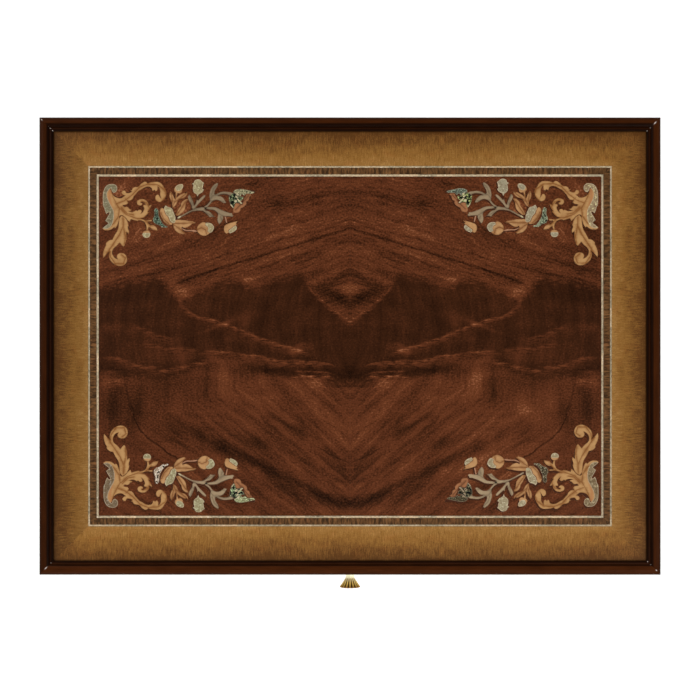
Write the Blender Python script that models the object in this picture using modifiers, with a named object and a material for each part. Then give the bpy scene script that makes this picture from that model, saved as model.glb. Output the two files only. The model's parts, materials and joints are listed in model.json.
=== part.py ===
"""Marquetry side table with one drawer in its frieze.

Lengths are in metres and Z is up. The drawer opens towards -Y. The origin is on
the floor, below the middle of everything that the table covers, knob included.
"""

import math

import bmesh
import bpy
from mathutils import Matrix, Vector

# Overall sizes
TOP_LENGTH = 0.760
TOP_WIDTH = 0.560
TABLE_HEIGHT = 0.690
OVERHANG = 0.012

# Clearances and cuts
GAP = 0.0003
OVERRUN = 0.004
WELD = 0.000001

# Section of the edge moulding, from its outer face inwards
MOULDING_WIDTH = 0.0168
BEAD_WIDTH = 0.0118
BEAD_CREST = 0.0050
BEAD_RISE = 0.0050
BEAD_FALL = 0.0018
QUIRK_WIDTH = 0.0008
QUIRK_DEPTH = 0.0012
REED_RISE = 0.0012
EDGE_FLAT = 0.0085
EDGE_FILLET = 0.0012
COVE = 0.0082
LOWER_FLAT = 0.0043
TONGUE_LENGTH = 0.007
TONGUE_THICKNESS = 0.005
BEAD_STEPS = 5

# Veneered top
LIP_RISE = 0.0065
VENEER = 0.0012
CORE_THICKNESS = 0.018
BORDER_WIDTH = 0.0422
OUTER_STRINGING = 0.0018
CROSSBAND_WIDTH = 0.0078
INNER_STRINGING = 0.0024

# Marquetry
MOTIF_SPAN = 0.12258
MOTIF_STEPS = 1

# Frame
LEG_SIDE = 0.044
ANKLE_SIDE = 0.026
ANKLE_HEIGHT = 0.092
SPADE_SIDE = 0.037
SPADE_HEIGHT = 0.074
TOE_SIDE = 0.025
LEG_BLOCK_DROP = 0.012
LEG_CHAMFER = 0.001
APRON_HEIGHT = 0.110
RAIL_THICKNESS = 0.020
RAIL_REVEAL = 0.002
TENON_SHOULDER = 0.0055
TENON_LENGTH = 0.020
BLADE_THICKNESS = 0.018
BLADE_DEPTH = 0.060
BLADE_TENON = 0.024
TOP_RAIL_THICKNESS = 0.014
DOVETAIL_FLARE = 0.004
GLIDE_RADIUS = 0.009
GLIDE_HEIGHT = 0.004
GLIDE_FLAT_RADIUS = 0.003
GLIDE_PIN_RADIUS = 0.0015
GLIDE_PIN_LENGTH = 0.012

# Parts that guide and stop the drawer
RUNNER_WIDTH = 0.0457
RUNNER_THICKNESS = 0.014
GUIDE_RISE = 0.030
KICKER_THICKNESS = 0.0137
STOP_LENGTH = 0.040
STOP_DEPTH = 0.012
STOP_THICKNESS = 0.0075
STOP_INSET = 0.100

# Parts that hold the top down
BUTTON_LENGTH = 0.028
BUTTON_DEPTH = 0.030
BUTTON_THICKNESS = 0.012
BUTTON_TONGUE = 0.005
BUTTON_GRIP = 0.007
BUTTON_DROP = 0.004
BUTTON_PLACE = 0.200
GLUE_BLOCK_LENGTH = 0.060
GLUE_BLOCK_SIDE = 0.018
GLUE_BLOCK_PLACE = 0.060

# Drawer
DRAWER_CLEARANCE = 0.001
DRAWER_BACK_ROOM = 0.032
FRONT_THICKNESS = 0.020
FRONT_LAP = 0.007
SIDE_THICKNESS = 0.011
SIDE_DROP = 0.004
BACK_THICKNESS = 0.010
BACK_DROP = 0.009
BOTTOM_THICKNESS = 0.006
BOTTOM_RISE = 0.0105
GROOVE_DEPTH = 0.005
COCK_BEAD = 0.003
COCK_BEAD_DEPTH = 0.0045
COCK_BEAD_PROUD = 0.002
NOSE_STEPS = 4
FRONT_TAIL_COUNT = 3
BACK_TAIL_COUNT = 2
TAIL_ROOT_SHARE = 0.48
TAIL_END_SHARE = 0.70

# Knob
KNOB_REACH = 0.037
KNOB_RADIUS = 0.0122
KNOB_DOME = 0.0024
KNOB_BASE_RADIUS = 0.008
KNOB_COLUMNS = 32
FLUTE_DEPTH_SHARE = 0.13
FLUTE_START_SHARE = 0.62
SCREW_RADIUS = 0.002
SCREW_GRIP = 0.012
SCREW_HEAD_RADIUS = 0.0042
SCREW_HEAD = 0.0024
SCREW_COLUMNS = 12

# Levels worked out from the sizes above
MOULDING_HEIGHT = BEAD_RISE + EDGE_FLAT + COVE + LOWER_FLAT
MOULDING_BOTTOM = TABLE_HEIGHT - MOULDING_HEIGHT
VENEER_TOP = TABLE_HEIGHT - LIP_RISE
VENEER_BOTTOM = VENEER_TOP - VENEER
CORE_TOP = VENEER_BOTTOM - GAP
CORE_BOTTOM = CORE_TOP - CORE_THICKNESS
TONGUE_LEVEL = CORE_BOTTOM + CORE_THICKNESS / 2
FRAME_TOP = min(CORE_BOTTOM, MOULDING_BOTTOM) - GAP
APRON_BOTTOM = FRAME_TOP - APRON_HEIGHT
BLADE_TOP = APRON_BOTTOM + BLADE_THICKNESS
OPENING_TOP = FRAME_TOP - TOP_RAIL_THICKNESS

# Distances in from the top's outer face
CORE_INSET = MOULDING_WIDTH + GAP
BORDER_END = CORE_INSET + BORDER_WIDTH
OUTER_STRINGING_START = BORDER_END + GAP
OUTER_STRINGING_END = OUTER_STRINGING_START + OUTER_STRINGING
CROSSBAND_START = OUTER_STRINGING_END + GAP
CROSSBAND_END = CROSSBAND_START + CROSSBAND_WIDTH
INNER_STRINGING_START = CROSSBAND_END + GAP
INNER_STRINGING_END = INNER_STRINGING_START + INNER_STRINGING
FIELD_INSET = INNER_STRINGING_END + GAP

# Frame places, measured from the middle of the top
LEG_OUT_X = TOP_LENGTH / 2 - OVERHANG
LEG_OUT_Y = TOP_WIDTH / 2 - OVERHANG
LEG_IN_X = LEG_OUT_X - LEG_SIDE
LEG_IN_Y = LEG_OUT_Y - LEG_SIDE
RAIL_OUT_X = LEG_OUT_X - RAIL_REVEAL
RAIL_OUT_Y = LEG_OUT_Y - RAIL_REVEAL
RAIL_IN_X = RAIL_OUT_X - RAIL_THICKNESS
RAIL_IN_Y = RAIL_OUT_Y - RAIL_THICKNESS
BLADE_BACK = -RAIL_OUT_Y + BLADE_DEPTH
BLADE_TENON_Y = -LEG_OUT_Y + LEG_SIDE / 2

# Drawer places, measured from the middle of the top
FRONT_FACE = -RAIL_OUT_Y
FRONT_BACK = FRONT_FACE + FRONT_THICKNESS
FRONT_HALF = LEG_IN_X - DRAWER_CLEARANCE
FRONT_LOW = BLADE_TOP + DRAWER_CLEARANCE
FRONT_HIGH = OPENING_TOP - DRAWER_CLEARANCE
SIDE_IN_X = FRONT_HALF - SIDE_THICKNESS
SIDE_LOW = BLADE_TOP + GAP
SIDE_HIGH = FRONT_HIGH - SIDE_DROP
BACK_FACE = RAIL_IN_Y - DRAWER_BACK_ROOM
BACK_FRONT = BACK_FACE - BACK_THICKNESS
BOTTOM_LOW = SIDE_LOW + BOTTOM_RISE
BOTTOM_HIGH = BOTTOM_LOW + BOTTOM_THICKNESS
BACK_LOW = BOTTOM_HIGH + GAP
BACK_HIGH = FRONT_HIGH - BACK_DROP
KNOB_LEVEL = (FRONT_LOW + FRONT_HIGH) / 2

# The knob reaches past the top, so the top stands back by half of that
KNOB_PAST_TOP = KNOB_REACH - (FRONT_FACE + TOP_WIDTH / 2)
TABLE_SHIFT = KNOB_PAST_TOP / 2

# Turns that bring a flat outline upright, facing the front or facing a side
FACING_FRONT = (math.radians(90), 0, 0)
FACING_SIDE = (math.radians(90), 0, math.radians(90))

SIDES = {"front": 0, "right": 1, "back": 2, "left": 3}
CORNERS = {
    "back_left": (-1, 1),
    "back_right": (1, 1),
    "front_left": (-1, -1),
    "front_right": (1, -1),
}

# Outlines of the corner marquetry, in shares of MOTIF_SPAN from the field's corner.
# A point that ends in SHARP is a tip or a notch, the others lie on smooth curves.
SHARP = 1
ACANTHUS_SHARES = (
    (.178, .113), (.160, .080), (.115, .077), (.066, .103), (.044, .180), (.044, .285),
    (.078, .371, SHARP), (.108, .354, SHARP), (.062, .440, SHARP), (.093, .470, SHARP),
    (.050, .490), (.037, .512), (.070, .535), (.125, .520), (.148, .503, SHARP),
    (.163, .513, SHARP), (.184, .475), (.191, .435, SHARP), (.194, .515), (.160, .585),
    (.137, .620), (.095, .640), (.070, .675), (.045, .740), (.045, .807, SHARP),
    (.107, .750, SHARP), (.100, .810), (.135, .868), (.200, .892), (.262, .864),
    (.277, .810), (.245, .766), (.195, .770), (.190, .820, SHARP), (.140, .790),
    (.135, .735), (.170, .700), (.205, .657, SHARP), (.245, .697, SHARP), (.270, .620),
    (.273, .553, SHARP), (.293, .570, SHARP), (.298, .500), (.275, .440),
    (.240, .398, SHARP), (.311, .450, SHARP), (.323, .423, SHARP), (.385, .440, SHARP),
    (.398, .430, SHARP), (.455, .460), (.473, .532, SHARP), (.434, .572), (.474, .610),
    (.513, .572), (.489, .532, SHARP), (.491, .505, SHARP), (.530, .530),
    (.581, .532, SHARP), (.545, .490), (.478, .444, SHARP), (.540, .443, SHARP),
    (.560, .470), (.610, .490), (.650, .508), (.684, .500), (.640, .470), (.600, .410),
    (.590, .345), (.564, .313), (.549, .340), (.550, .385), (.538, .432, SHARP),
    (.480, .432), (.423, .415, SHARP), (.480, .390), (.502, .335), (.522, .283, SHARP),
    (.496, .283), (.470, .237), (.420, .222), (.381, .245), (.395, .283), (.430, .275),
    (.420, .257, SHARP), (.445, .255), (.467, .280, SHARP), (.443, .293), (.451, .325),
    (.414, .369, SHARP), (.424, .340), (.395, .333), (.350, .349), (.293, .349, SHARP),
    (.322, .333, SHARP), (.243, .296, SHARP), (.290, .260, SHARP), (.280, .236, SHARP),
    (.340, .219), (.365, .165), (.415, .125), (.500, .103), (.532, .142, SHARP),
    (.567, .144, SHARP), (.583, .095, SHARP), (.610, .130), (.612, .203, SHARP),
    (.585, .180), (.563, .213), (.603, .254), (.655, .215), (.671, .165), (.640, .090),
    (.605, .055), (.505, .060), (.448, .053), (.395, .096), (.350, .110),
    (.313, .139, SHARP), (.328, .148, SHARP), (.270, .160), (.240, .143), (.230, .160),
    (.258, .186, SHARP), (.190, .213), (.128, .163, SHARP), (.165, .148),
)
SPRAY_SHARES = (
    (.602, .335), (.606, .375), (.635, .440), (.685, .483), (.735, .478, SHARP),
    (.745, .505), (.786, .558), (.861, .572, SHARP), (.833, .540, SHARP), (.900, .547),
    (.954, .547), (1.001, .576), (1.054, .592), (1.101, .558), (1.145, .510),
    (1.120, .468), (1.040, .453), (.997, .490), (.976, .533, SHARP), (.900, .531),
    (.828, .505, SHARP), (.883, .498), (.933, .464), (.963, .460, SHARP), (.904, .442),
    (.830, .430), (.770, .432, SHARP), (.800, .415), (.861, .387), (.940, .348),
    (1.011, .337), (1.060, .365), (1.101, .401), (1.158, .401, SHARP), (1.111, .355),
    (1.064, .329, SHARP), (1.130, .330), (1.175, .355), (1.194, .395), (1.182, .440),
    (1.203, .474, SHARP), (1.238, .420), (1.240, .392, SHARP), (1.254, .395, SHARP),
    (1.264, .470, SHARP), (1.248, .520), (1.272, .567, SHARP), (1.294, .551, SHARP),
    (1.322, .562), (1.369, .519), (1.363, .476, SHARP), (1.379, .455, SHARP),
    (1.333, .456), (1.281, .471, SHARP), (1.268, .398, SHARP), (1.336, .398, SHARP),
    (1.326, .369, SHARP), (1.244, .340), (1.161, .305), (1.070, .303, SHARP),
    (1.119, .263), (1.160, .235), (1.201, .238), (1.265, .260, SHARP), (1.244, .215),
    (1.165, .194, SHARP), (1.230, .176), (1.290, .183), (1.306, .225), (1.340, .312),
    (1.345, .345), (1.376, .358), (1.411, .326), (1.469, .287), (1.490, .240),
    (1.519, .190), (1.490, .178), (1.420, .260, SHARP), (1.388, .223),
    (1.450, .160, SHARP), (1.551, .158), (1.561, .146), (1.551, .133),
    (1.461, .137, SHARP), (1.404, .121), (1.340, .148, SHARP), (1.336, .165, SHARP),
    (1.222, .151), (1.165, .178, SHARP), (1.151, .151), (1.190, .065, SHARP),
    (1.133, .098), (1.106, .170), (1.113, .230), (1.061, .287), (.954, .319, SHARP),
    (.994, .265), (1.061, .187, SHARP), (.992, .228, SHARP), (.997, .176, SHARP),
    (1.038, .151), (1.047, .126, SHARP), (1.035, .101), (1.051, .062, SHARP),
    (.986, .030), (.929, .069, SHARP), (.945, .119), (.940, .146), (.976, .176, SHARP),
    (.974, .226, SHARP), (.951, .287, SHARP), (.936, .230), (.904, .180, SHARP),
    (.904, .233), (.926, .319, SHARP), (.869, .369), (.786, .403, SHARP), (.808, .387),
    (.851, .333), (.869, .262), (.890, .226, SHARP), (.833, .248), (.800, .315),
    (.765, .380, SHARP), (.745, .345), (.738, .312, SHARP), (.760, .275), (.783, .237),
    (.836, .221), (.878, .151, SHARP), (.781, .201, SHARP), (.781, .169, SHARP),
    (.829, .150), (.836, .080), (.776, .094), (.751, .137), (.767, .165, SHARP),
    (.761, .194, SHARP), (.717, .148, SHARP), (.706, .190), (.729, .255),
    (.722, .308, SHARP), (.690, .303), (.661, .286, SHARP), (.615, .315),
)


def clear_scene():
    """Remove whatever objects the scene holds."""
    for old in list(bpy.data.objects):
        bpy.data.objects.remove(old, do_unlink=True)


def new_collection(name):
    """A collection linked to the scene."""
    group = bpy.data.collections.new(name)
    bpy.context.scene.collection.children.link(group)
    return group


def new_material(name, colour, roughness, metallic=0.0):
    """A plain Principled material."""
    material = bpy.data.materials.new(name)
    material.use_nodes = True
    shader = material.node_tree.nodes["Principled BSDF"]
    shader.inputs["Base Color"].default_value = (*colour, 1.0)
    shader.inputs["Roughness"].default_value = roughness
    shader.inputs["Metallic"].default_value = metallic
    return material


class Workshop:
    """The collections, materials and carriers that every piece is made with."""

    def __init__(self):
        self.parts = new_collection("marquetry_side_table")
        self.cutters = new_collection("cutters")
        self.woods = {
            "mahogany": new_material("mahogany", (0.045, 0.012, 0.005), 0.35),
            "figured": new_material("figured_mahogany", (0.068, 0.020, 0.009), 0.25),
            "satinwood": new_material("satinwood", (0.200, 0.098, 0.034), 0.28),
            "crossband": new_material("crossband_wood", (0.105, 0.048, 0.017), 0.30),
            "motif": new_material("shaded_boxwood", (0.400, 0.205, 0.075), 0.30),
            "pearl": new_material("mother_of_pearl", (0.480, 0.380, 0.270), 0.18),
            "oak": new_material("drawer_oak", (0.300, 0.180, 0.085), 0.60),
            "brass": new_material("brass", (0.720, 0.480, 0.160), 0.28, 1.0),
            "steel": new_material("steel", (0.450, 0.450, 0.450), 0.35, 1.0),
        }
        self.table = self.carrier("table_centre", (0, TABLE_SHIFT, 0), None)
        self.drawer = self.carrier("drawer_slide", (0, FRONT_FACE, KNOB_LEVEL), self.table)

    def carrier(self, name, place, parent):
        """An empty that carries pieces."""
        empty = bpy.data.objects.new(name, None)
        empty.parent = parent
        empty.location = place
        self.parts.objects.link(empty)
        return empty

    def piece(self, name, mesh, material, place=(0, 0, 0), turn=(0, 0, 0), drawer=False):
        """A sub-part whose place is measured from the middle of the top."""
        mesh.materials.clear()
        mesh.materials.append(self.woods[material])
        part = bpy.data.objects.new(name, mesh)
        self.place(part, place, turn, drawer)
        self.parts.objects.link(part)
        return part

    def cutter(self, name, mesh, place=(0, 0, 0), turn=(0, 0, 0), drawer=False):
        """A shape that only cuts others."""
        tool = bpy.data.objects.new(name, mesh)
        tool.hide_render = True
        tool.display_type = "WIRE"
        self.place(tool, place, turn, drawer)
        self.cutters.objects.link(tool)
        return tool

    def place(self, thing, place, turn, drawer):
        """Set a thing on the table or on the drawer."""
        offset = Vector(place)
        thing.parent = self.table
        if drawer:
            thing.parent = self.drawer
            offset = offset - self.drawer.location
        thing.location = offset
        thing.rotation_euler = turn


def mesh_from(bm, name):
    """Write a bmesh to a new mesh with its faces pointing out."""
    bmesh.ops.recalc_face_normals(bm, faces=bm.faces)
    mesh = bpy.data.meshes.new(name)
    bm.to_mesh(mesh)
    bm.free()
    return mesh


def block_mesh(name, size):
    """A box centred on its origin."""
    bm = bmesh.new()
    bmesh.ops.create_cube(bm, size=1, matrix=Matrix.Diagonal((*size, 1)))
    return mesh_from(bm, name)


def span(x, y, z):
    """The size and the centre of a box between two places on each axis."""
    size = [high - low for low, high in (x, y, z)]
    centre = [(high + low) / 2 for low, high in (x, y, z)]
    return size, centre


def block(shop, name, x, y, z, material, drawer=False):
    """A plain block between two places on each axis."""
    size, centre = span(x, y, z)
    return shop.piece(name, block_mesh(name, size), material, centre, drawer=drawer)


def block_cutter(shop, name, x, y, z, drawer=False):
    """A box that cuts."""
    size, centre = span(x, y, z)
    return shop.cutter(name, block_mesh(name, size), centre, drawer=drawer)


def outline_mesh(name, loops, thickness, offset=0.0, steps=1):
    """A flat plate from closed outlines, where a point ending in SHARP is a corner."""
    curve = bpy.data.curves.new(name, "CURVE")
    curve.dimensions = "2D"
    curve.fill_mode = "BOTH"
    curve.extrude = thickness / 2
    curve.offset = offset
    curve.resolution_u = steps
    for points in loops:
        spline = curve.splines.new("BEZIER")
        spline.bezier_points.add(len(points) - 1)
        spline.use_cyclic_u = True
        for knot, point in zip(spline.bezier_points, points):
            knot.co = (point[0], point[1], 0)
            handle = "VECTOR" if len(point) > 2 else "AUTO"
            knot.handle_left_type = handle
            knot.handle_right_type = handle
    guide = bpy.data.objects.new(name, curve)
    bpy.context.scene.collection.objects.link(guide)
    graph = bpy.context.evaluated_depsgraph_get()
    filled = bpy.data.meshes.new_from_object(guide.evaluated_get(graph))
    bm = bmesh.new()
    bm.from_mesh(filled)
    bmesh.ops.remove_doubles(bm, verts=bm.verts, dist=WELD)
    bpy.data.objects.remove(guide)
    bpy.data.curves.remove(curve)
    bpy.data.meshes.remove(filled)
    return mesh_from(bm, name)


def corners_of(points):
    """The same points, each one a corner."""
    return [(x, y, SHARP) for x, y in points]


def rectangle(half_x, half_y):
    """The corners of a rectangle about the origin."""
    return corners_of([(-half_x, -half_y), (half_x, -half_y), (half_x, half_y), (-half_x, half_y)])


def cut(part, cutter):
    """Take a cutter's shape out of a part."""
    boolean = part.modifiers.new(cutter.name, "BOOLEAN")
    boolean.operation = "DIFFERENCE"
    boolean.solver = "EXACT"
    boolean.object = cutter


def arc(centre, radii, start, end, steps):
    """Points along an ellipse's arc, angles in degrees."""
    points = []
    for step in range(steps + 1):
        angle = math.radians(start + (end - start) * step / steps)
        x = centre[0] + radii[0] * math.cos(angle)
        z = centre[1] + radii[1] * math.sin(angle)
        points.append((x, z))
    return points


def turned_mesh(name, profile, columns, flutes=None):
    """A shape turned about its Z axis from (radius, height) points, base to tip."""
    bm = bmesh.new()
    knots = [bm.verts.new((radius, 0, height)) for radius, height in profile]
    edges = [bm.edges.new(pair) for pair in zip(knots, knots[1:])]
    bmesh.ops.spin(
        bm, geom=knots + edges, angle=math.tau, steps=columns,
        cent=(0, 0, 0), axis=(0, 0, 1), use_merge=True,
    )
    bmesh.ops.remove_doubles(bm, verts=bm.verts, dist=WELD)
    if flutes:
        press_flutes(bm, columns, flutes)
    mesh = mesh_from(bm, name)
    mesh.shade_smooth()
    mesh.set_sharp_from_angle(angle=math.radians(40))
    return mesh


def press_flutes(bm, columns, stretch):
    """Push every second column of points in, between two heights."""
    low, high = stretch
    for vert in bm.verts:
        turn = math.atan2(vert.co.y, vert.co.x) / math.tau * columns
        if round(turn) % 2 and low < vert.co.z < high:
            vert.co.x *= 1 - FLUTE_DEPTH_SHARE
            vert.co.y *= 1 - FLUTE_DEPTH_SHARE


def mitred_mesh(name, section, half_length, half_width):
    """One side of a mitred frame along X, its outer face towards -Y.

    The section's points are (distance in from the outer face, height).
    """
    bm = bmesh.new()
    start = -half_length
    knots = [bm.verts.new((start, u - half_width, z)) for u, z in section]
    face = bm.faces.new(knots)
    grown = bmesh.ops.extrude_face_region(bm, geom=[face])
    moved = [item for item in grown["geom"] if isinstance(item, bmesh.types.BMVert)]
    bmesh.ops.translate(bm, verts=moved, vec=(2 * half_length, 0, 0))
    bmesh.ops.recalc_face_normals(bm, faces=bm.faces)
    for side in (-1, 1):
        normal = Vector((side, 1, 0)).normalized()
        corner = Vector((side * half_length, -half_width, 0))
        bmesh.ops.bisect_plane(
            bm, geom=bm.verts[:] + bm.edges[:] + bm.faces[:], dist=WELD,
            plane_co=corner - normal * GAP / 2, plane_no=normal, clear_outer=True,
        )
        rim = [edge for edge in bm.edges if edge.is_boundary]
        bmesh.ops.holes_fill(bm, edges=rim, sides=len(rim))
    return mesh_from(bm, name)


def mitred_frame(shop, name, section, material):
    """Four mitred sides round the top, all with one section."""
    sizes = {
        "front": (TOP_LENGTH / 2, TOP_WIDTH / 2),
        "right": (TOP_WIDTH / 2, TOP_LENGTH / 2),
        "back": (TOP_LENGTH / 2, TOP_WIDTH / 2),
        "left": (TOP_WIDTH / 2, TOP_LENGTH / 2),
    }
    for side, quarter in SIDES.items():
        mesh = mitred_mesh(f"{name}_{side}", section, *sizes[side])
        shop.piece(f"{name}_{side}", mesh, material, turn=(0, 0, quarter * math.pi / 2))


def band(start, end):
    """The section of a flat veneer between two distances from the outer face."""
    return [(start, VENEER_BOTTOM), (end, VENEER_BOTTOM), (end, VENEER_TOP), (start, VENEER_TOP)]


def moulding_section():
    """The edge moulding's section: bead, quirk, reed, tongue, cove and flat."""
    crest = TABLE_HEIGHT
    flat_top = crest - BEAD_RISE
    quirk_top = crest - BEAD_FALL
    quirk_floor = quirk_top - QUIRK_DEPTH
    reed_start = BEAD_WIDTH + QUIRK_WIDTH
    reed_half = (MOULDING_WIDTH - reed_start) / 2
    cove_foot = MOULDING_BOTTOM + LOWER_FLAT
    tongue_end = MOULDING_WIDTH + TONGUE_LENGTH
    tongue_high = TONGUE_LEVEL + TONGUE_THICKNESS / 2
    tongue_low = TONGUE_LEVEL - TONGUE_THICKNESS / 2
    points = arc((BEAD_CREST, flat_top), (BEAD_CREST, BEAD_RISE), 180, 90, BEAD_STEPS)
    fall = arc((BEAD_CREST, quirk_top), (BEAD_WIDTH - BEAD_CREST, BEAD_FALL), 90, 0, BEAD_STEPS)
    points += fall[1:]
    points.append((BEAD_WIDTH, quirk_floor))
    points += arc((reed_start + reed_half, quirk_floor), (reed_half, REED_RISE), 180, 0, BEAD_STEPS)
    points.append((MOULDING_WIDTH, tongue_high))
    points.append((tongue_end, tongue_high))
    points.append((tongue_end, tongue_low))
    points.append((MOULDING_WIDTH, tongue_low))
    points.append((MOULDING_WIDTH, MOULDING_BOTTOM))
    points.append((EDGE_FILLET + COVE, MOULDING_BOTTOM))
    points += arc((EDGE_FILLET, cove_foot), (COVE, COVE), 0, 90, BEAD_STEPS)
    points.append((0, cove_foot + COVE))
    return points


def make_core(shop):
    """The ground of the top, grooved all round for the moulding's tongue."""
    half_x = TOP_LENGTH / 2 - CORE_INSET
    half_y = TOP_WIDTH / 2 - CORE_INSET
    core = block(
        shop, "top_panel", (-half_x, half_x), (-half_y, half_y), (CORE_BOTTOM, CORE_TOP), "oak",
    )
    reach = TONGUE_LENGTH + GAP
    outer = rectangle(half_x + OVERRUN, half_y + OVERRUN)
    inner = rectangle(half_x - reach, half_y - reach)
    thickness = TONGUE_THICKNESS + 2 * GAP
    ring = outline_mesh("edge_groove", [outer, inner], thickness)
    cut(core, shop.cutter("edge_groove", ring, (0, 0, TONGUE_LEVEL)))


def make_stringing(shop, name, start, end):
    """A line of mother-of-pearl that runs all round the top."""
    outer = rectangle(TOP_LENGTH / 2 - start, TOP_WIDTH / 2 - start)
    inner = rectangle(TOP_LENGTH / 2 - end, TOP_WIDTH / 2 - end)
    mesh = outline_mesh(name, [outer, inner], VENEER)
    shop.piece(name, mesh, "pearl", (0, 0, VENEER_TOP - VENEER / 2))


def motif_points(shares, signs):
    """A motif's outline at one corner of the field."""
    across, along = signs
    corner_x = TOP_LENGTH / 2 - FIELD_INSET
    corner_y = TOP_WIDTH / 2 - FIELD_INSET
    points = []
    for share in shares:
        x = across * (corner_x - share[0] * MOTIF_SPAN)
        y = along * (corner_y - share[1] * MOTIF_SPAN)
        points.append((x, y, *share[2:]))
    return points


def make_field(shop):
    """Two book-matched leaves, with the corner marquetry let into them."""
    half_x = TOP_LENGTH / 2 - FIELD_INSET
    half_y = TOP_WIDTH / 2 - FIELD_INSET
    level = VENEER_TOP - VENEER / 2
    leaves = {}
    for side, sign in (("left", -1), ("right", 1)):
        x = sorted((sign * GAP / 2, sign * half_x))
        leaves[sign] = block(
            shop, f"field_leaf_{side}", x, (-half_y, half_y), (VENEER_BOTTOM, VENEER_TOP), "figured",
        )
    for corner, signs in CORNERS.items():
        for motif, shares in (("acanthus", ACANTHUS_SHARES), ("flower_spray", SPRAY_SHARES)):
            name = f"{motif}_{corner}"
            points = motif_points(shares, signs)
            mesh = outline_mesh(name, [points], VENEER, steps=MOTIF_STEPS)
            shop.piece(name, mesh, "motif", (0, 0, level))
            pocket = outline_mesh(name, [points], VENEER + OVERRUN, GAP, MOTIF_STEPS)
            cut(leaves[signs[0]], shop.cutter(f"{name}_pocket", pocket, (0, 0, level)))


def make_top(shop):
    """The whole top, from the ground to the marquetry."""
    make_core(shop)
    mitred_frame(shop, "edge_moulding", moulding_section(), "mahogany")
    mitred_frame(shop, "satinwood_border", band(CORE_INSET, BORDER_END), "satinwood")
    mitred_frame(shop, "crossband", band(CROSSBAND_START, CROSSBAND_END), "crossband")
    make_stringing(shop, "outer_stringing", OUTER_STRINGING_START, OUTER_STRINGING_END)
    make_stringing(shop, "inner_stringing", INNER_STRINGING_START, INNER_STRINGING_END)
    make_field(shop)


def leg_mesh():
    """A leg whose outer corner is towards -X and -Y, tapered on its inner faces.

    The origin is on the floor below the middle of the leg's top.
    """
    foot = GLIDE_HEIGHT + GAP
    lean = (ANKLE_SIDE - LEG_SIDE) / 2
    stations = (
        (FRAME_TOP, LEG_SIDE, 0),
        (APRON_BOTTOM - LEG_BLOCK_DROP, LEG_SIDE, 0),
        (ANKLE_HEIGHT, ANKLE_SIDE, lean),
        (SPADE_HEIGHT, SPADE_SIDE, lean),
        (foot, TOE_SIDE, lean),
    )
    bm = bmesh.new()
    height, side, shift = stations[0]
    half = side / 2
    corners = ((-half, -half), (half, -half), (half, half), (-half, half))
    top = bm.faces.new([bm.verts.new((x, y, height)) for x, y in corners])
    face = top
    for next_height, next_side, next_shift in stations[1:]:
        grown = bmesh.ops.extrude_face_region(bm, geom=[face])
        if face is not top:
            bmesh.ops.delete(bm, geom=[face], context="FACES_ONLY")
        face = next(item for item in grown["geom"] if isinstance(item, bmesh.types.BMFace))
        moved = list(face.verts)
        scale = next_side / side
        about = Matrix.Translation((-shift, -shift, 0))
        bmesh.ops.scale(bm, verts=moved, vec=(scale, scale, 1), space=about)
        move = next_shift - shift
        bmesh.ops.translate(bm, verts=moved, vec=(move, move, next_height - height))
        height, side, shift = next_height, next_side, next_shift
    return mesh_from(bm, "leg")


def make_legs(shop):
    """Four legs, each the same leg turned, chamfered and then mortised."""
    mesh = leg_mesh()
    glide = glide_mesh()
    tools = {
        "front": [blade_mortise(shop), top_rail_mortise(shop)],
        "back": [rail_mortise(shop, "back_rail")],
        "left": [rail_mortise(shop, "side_rail_left")],
        "right": [rail_mortise(shop, "side_rail_right")],
    }
    turns = {"front_left": 0, "front_right": 1, "back_right": 2, "back_left": 3}
    centre_x = LEG_OUT_X - LEG_SIDE / 2
    centre_y = LEG_OUT_Y - LEG_SIDE / 2
    foot = (LEG_SIDE - ANKLE_SIDE) / 2
    for corner, quarter in turns.items():
        across, along = CORNERS[corner]
        place = (across * centre_x, along * centre_y, 0)
        leg = shop.piece(f"leg_{corner}", mesh, "mahogany", place, (0, 0, quarter * math.pi / 2))
        chamfer = leg.modifiers.new("chamfer", "BEVEL")
        chamfer.width = LEG_CHAMFER
        chamfer.segments = 1
        chamfer.angle_limit = math.radians(60)
        toe = (across * (centre_x + foot), along * (centre_y + foot), 0)
        shop.piece(f"glide_{corner}", glide, "steel", toe)
        socket = turned_mesh("glide_socket", socket_profile(), SCREW_COLUMNS)
        cut(leg, shop.cutter(f"glide_socket_{corner}", socket, toe))
        for side in corner.split("_"):
            for tool in tools[side]:
                cut(leg, tool)


def glide_mesh():
    """A domed nail glide, from the floor up into the leg."""
    dome = arc((0, GLIDE_HEIGHT), (GLIDE_RADIUS, GLIDE_HEIGHT), -90, 0, NOSE_STEPS)
    profile = [(0, 0), (GLIDE_FLAT_RADIUS, 0)] + dome[1:]
    profile.append((GLIDE_PIN_RADIUS, GLIDE_HEIGHT))
    profile.append((GLIDE_PIN_RADIUS, GLIDE_HEIGHT + GLIDE_PIN_LENGTH))
    profile.append((0, GLIDE_HEIGHT + GLIDE_PIN_LENGTH))
    return turned_mesh("glide", profile, SCREW_COLUMNS)


def socket_profile():
    """The hole for a glide's pin."""
    radius = GLIDE_PIN_RADIUS + GAP
    top = GLIDE_HEIGHT + GLIDE_PIN_LENGTH + GAP
    return [(0, 0), (radius, 0), (radius, top), (0, top)]


def rail_places():
    """Each deep rail's length between the legs, its middle and its turn."""
    middle = FRAME_TOP - APRON_HEIGHT / 2
    side_x = RAIL_OUT_X - RAIL_THICKNESS / 2
    back_y = RAIL_OUT_Y - RAIL_THICKNESS / 2
    quarter = math.pi / 2
    return {
        "back_rail": (2 * (LEG_IN_X - GAP), (0, back_y, middle), 0),
        "side_rail_left": (2 * (LEG_IN_Y - GAP), (-side_x, 0, middle), quarter),
        "side_rail_right": (2 * (LEG_IN_Y - GAP), (side_x, 0, middle), quarter),
    }


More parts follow.
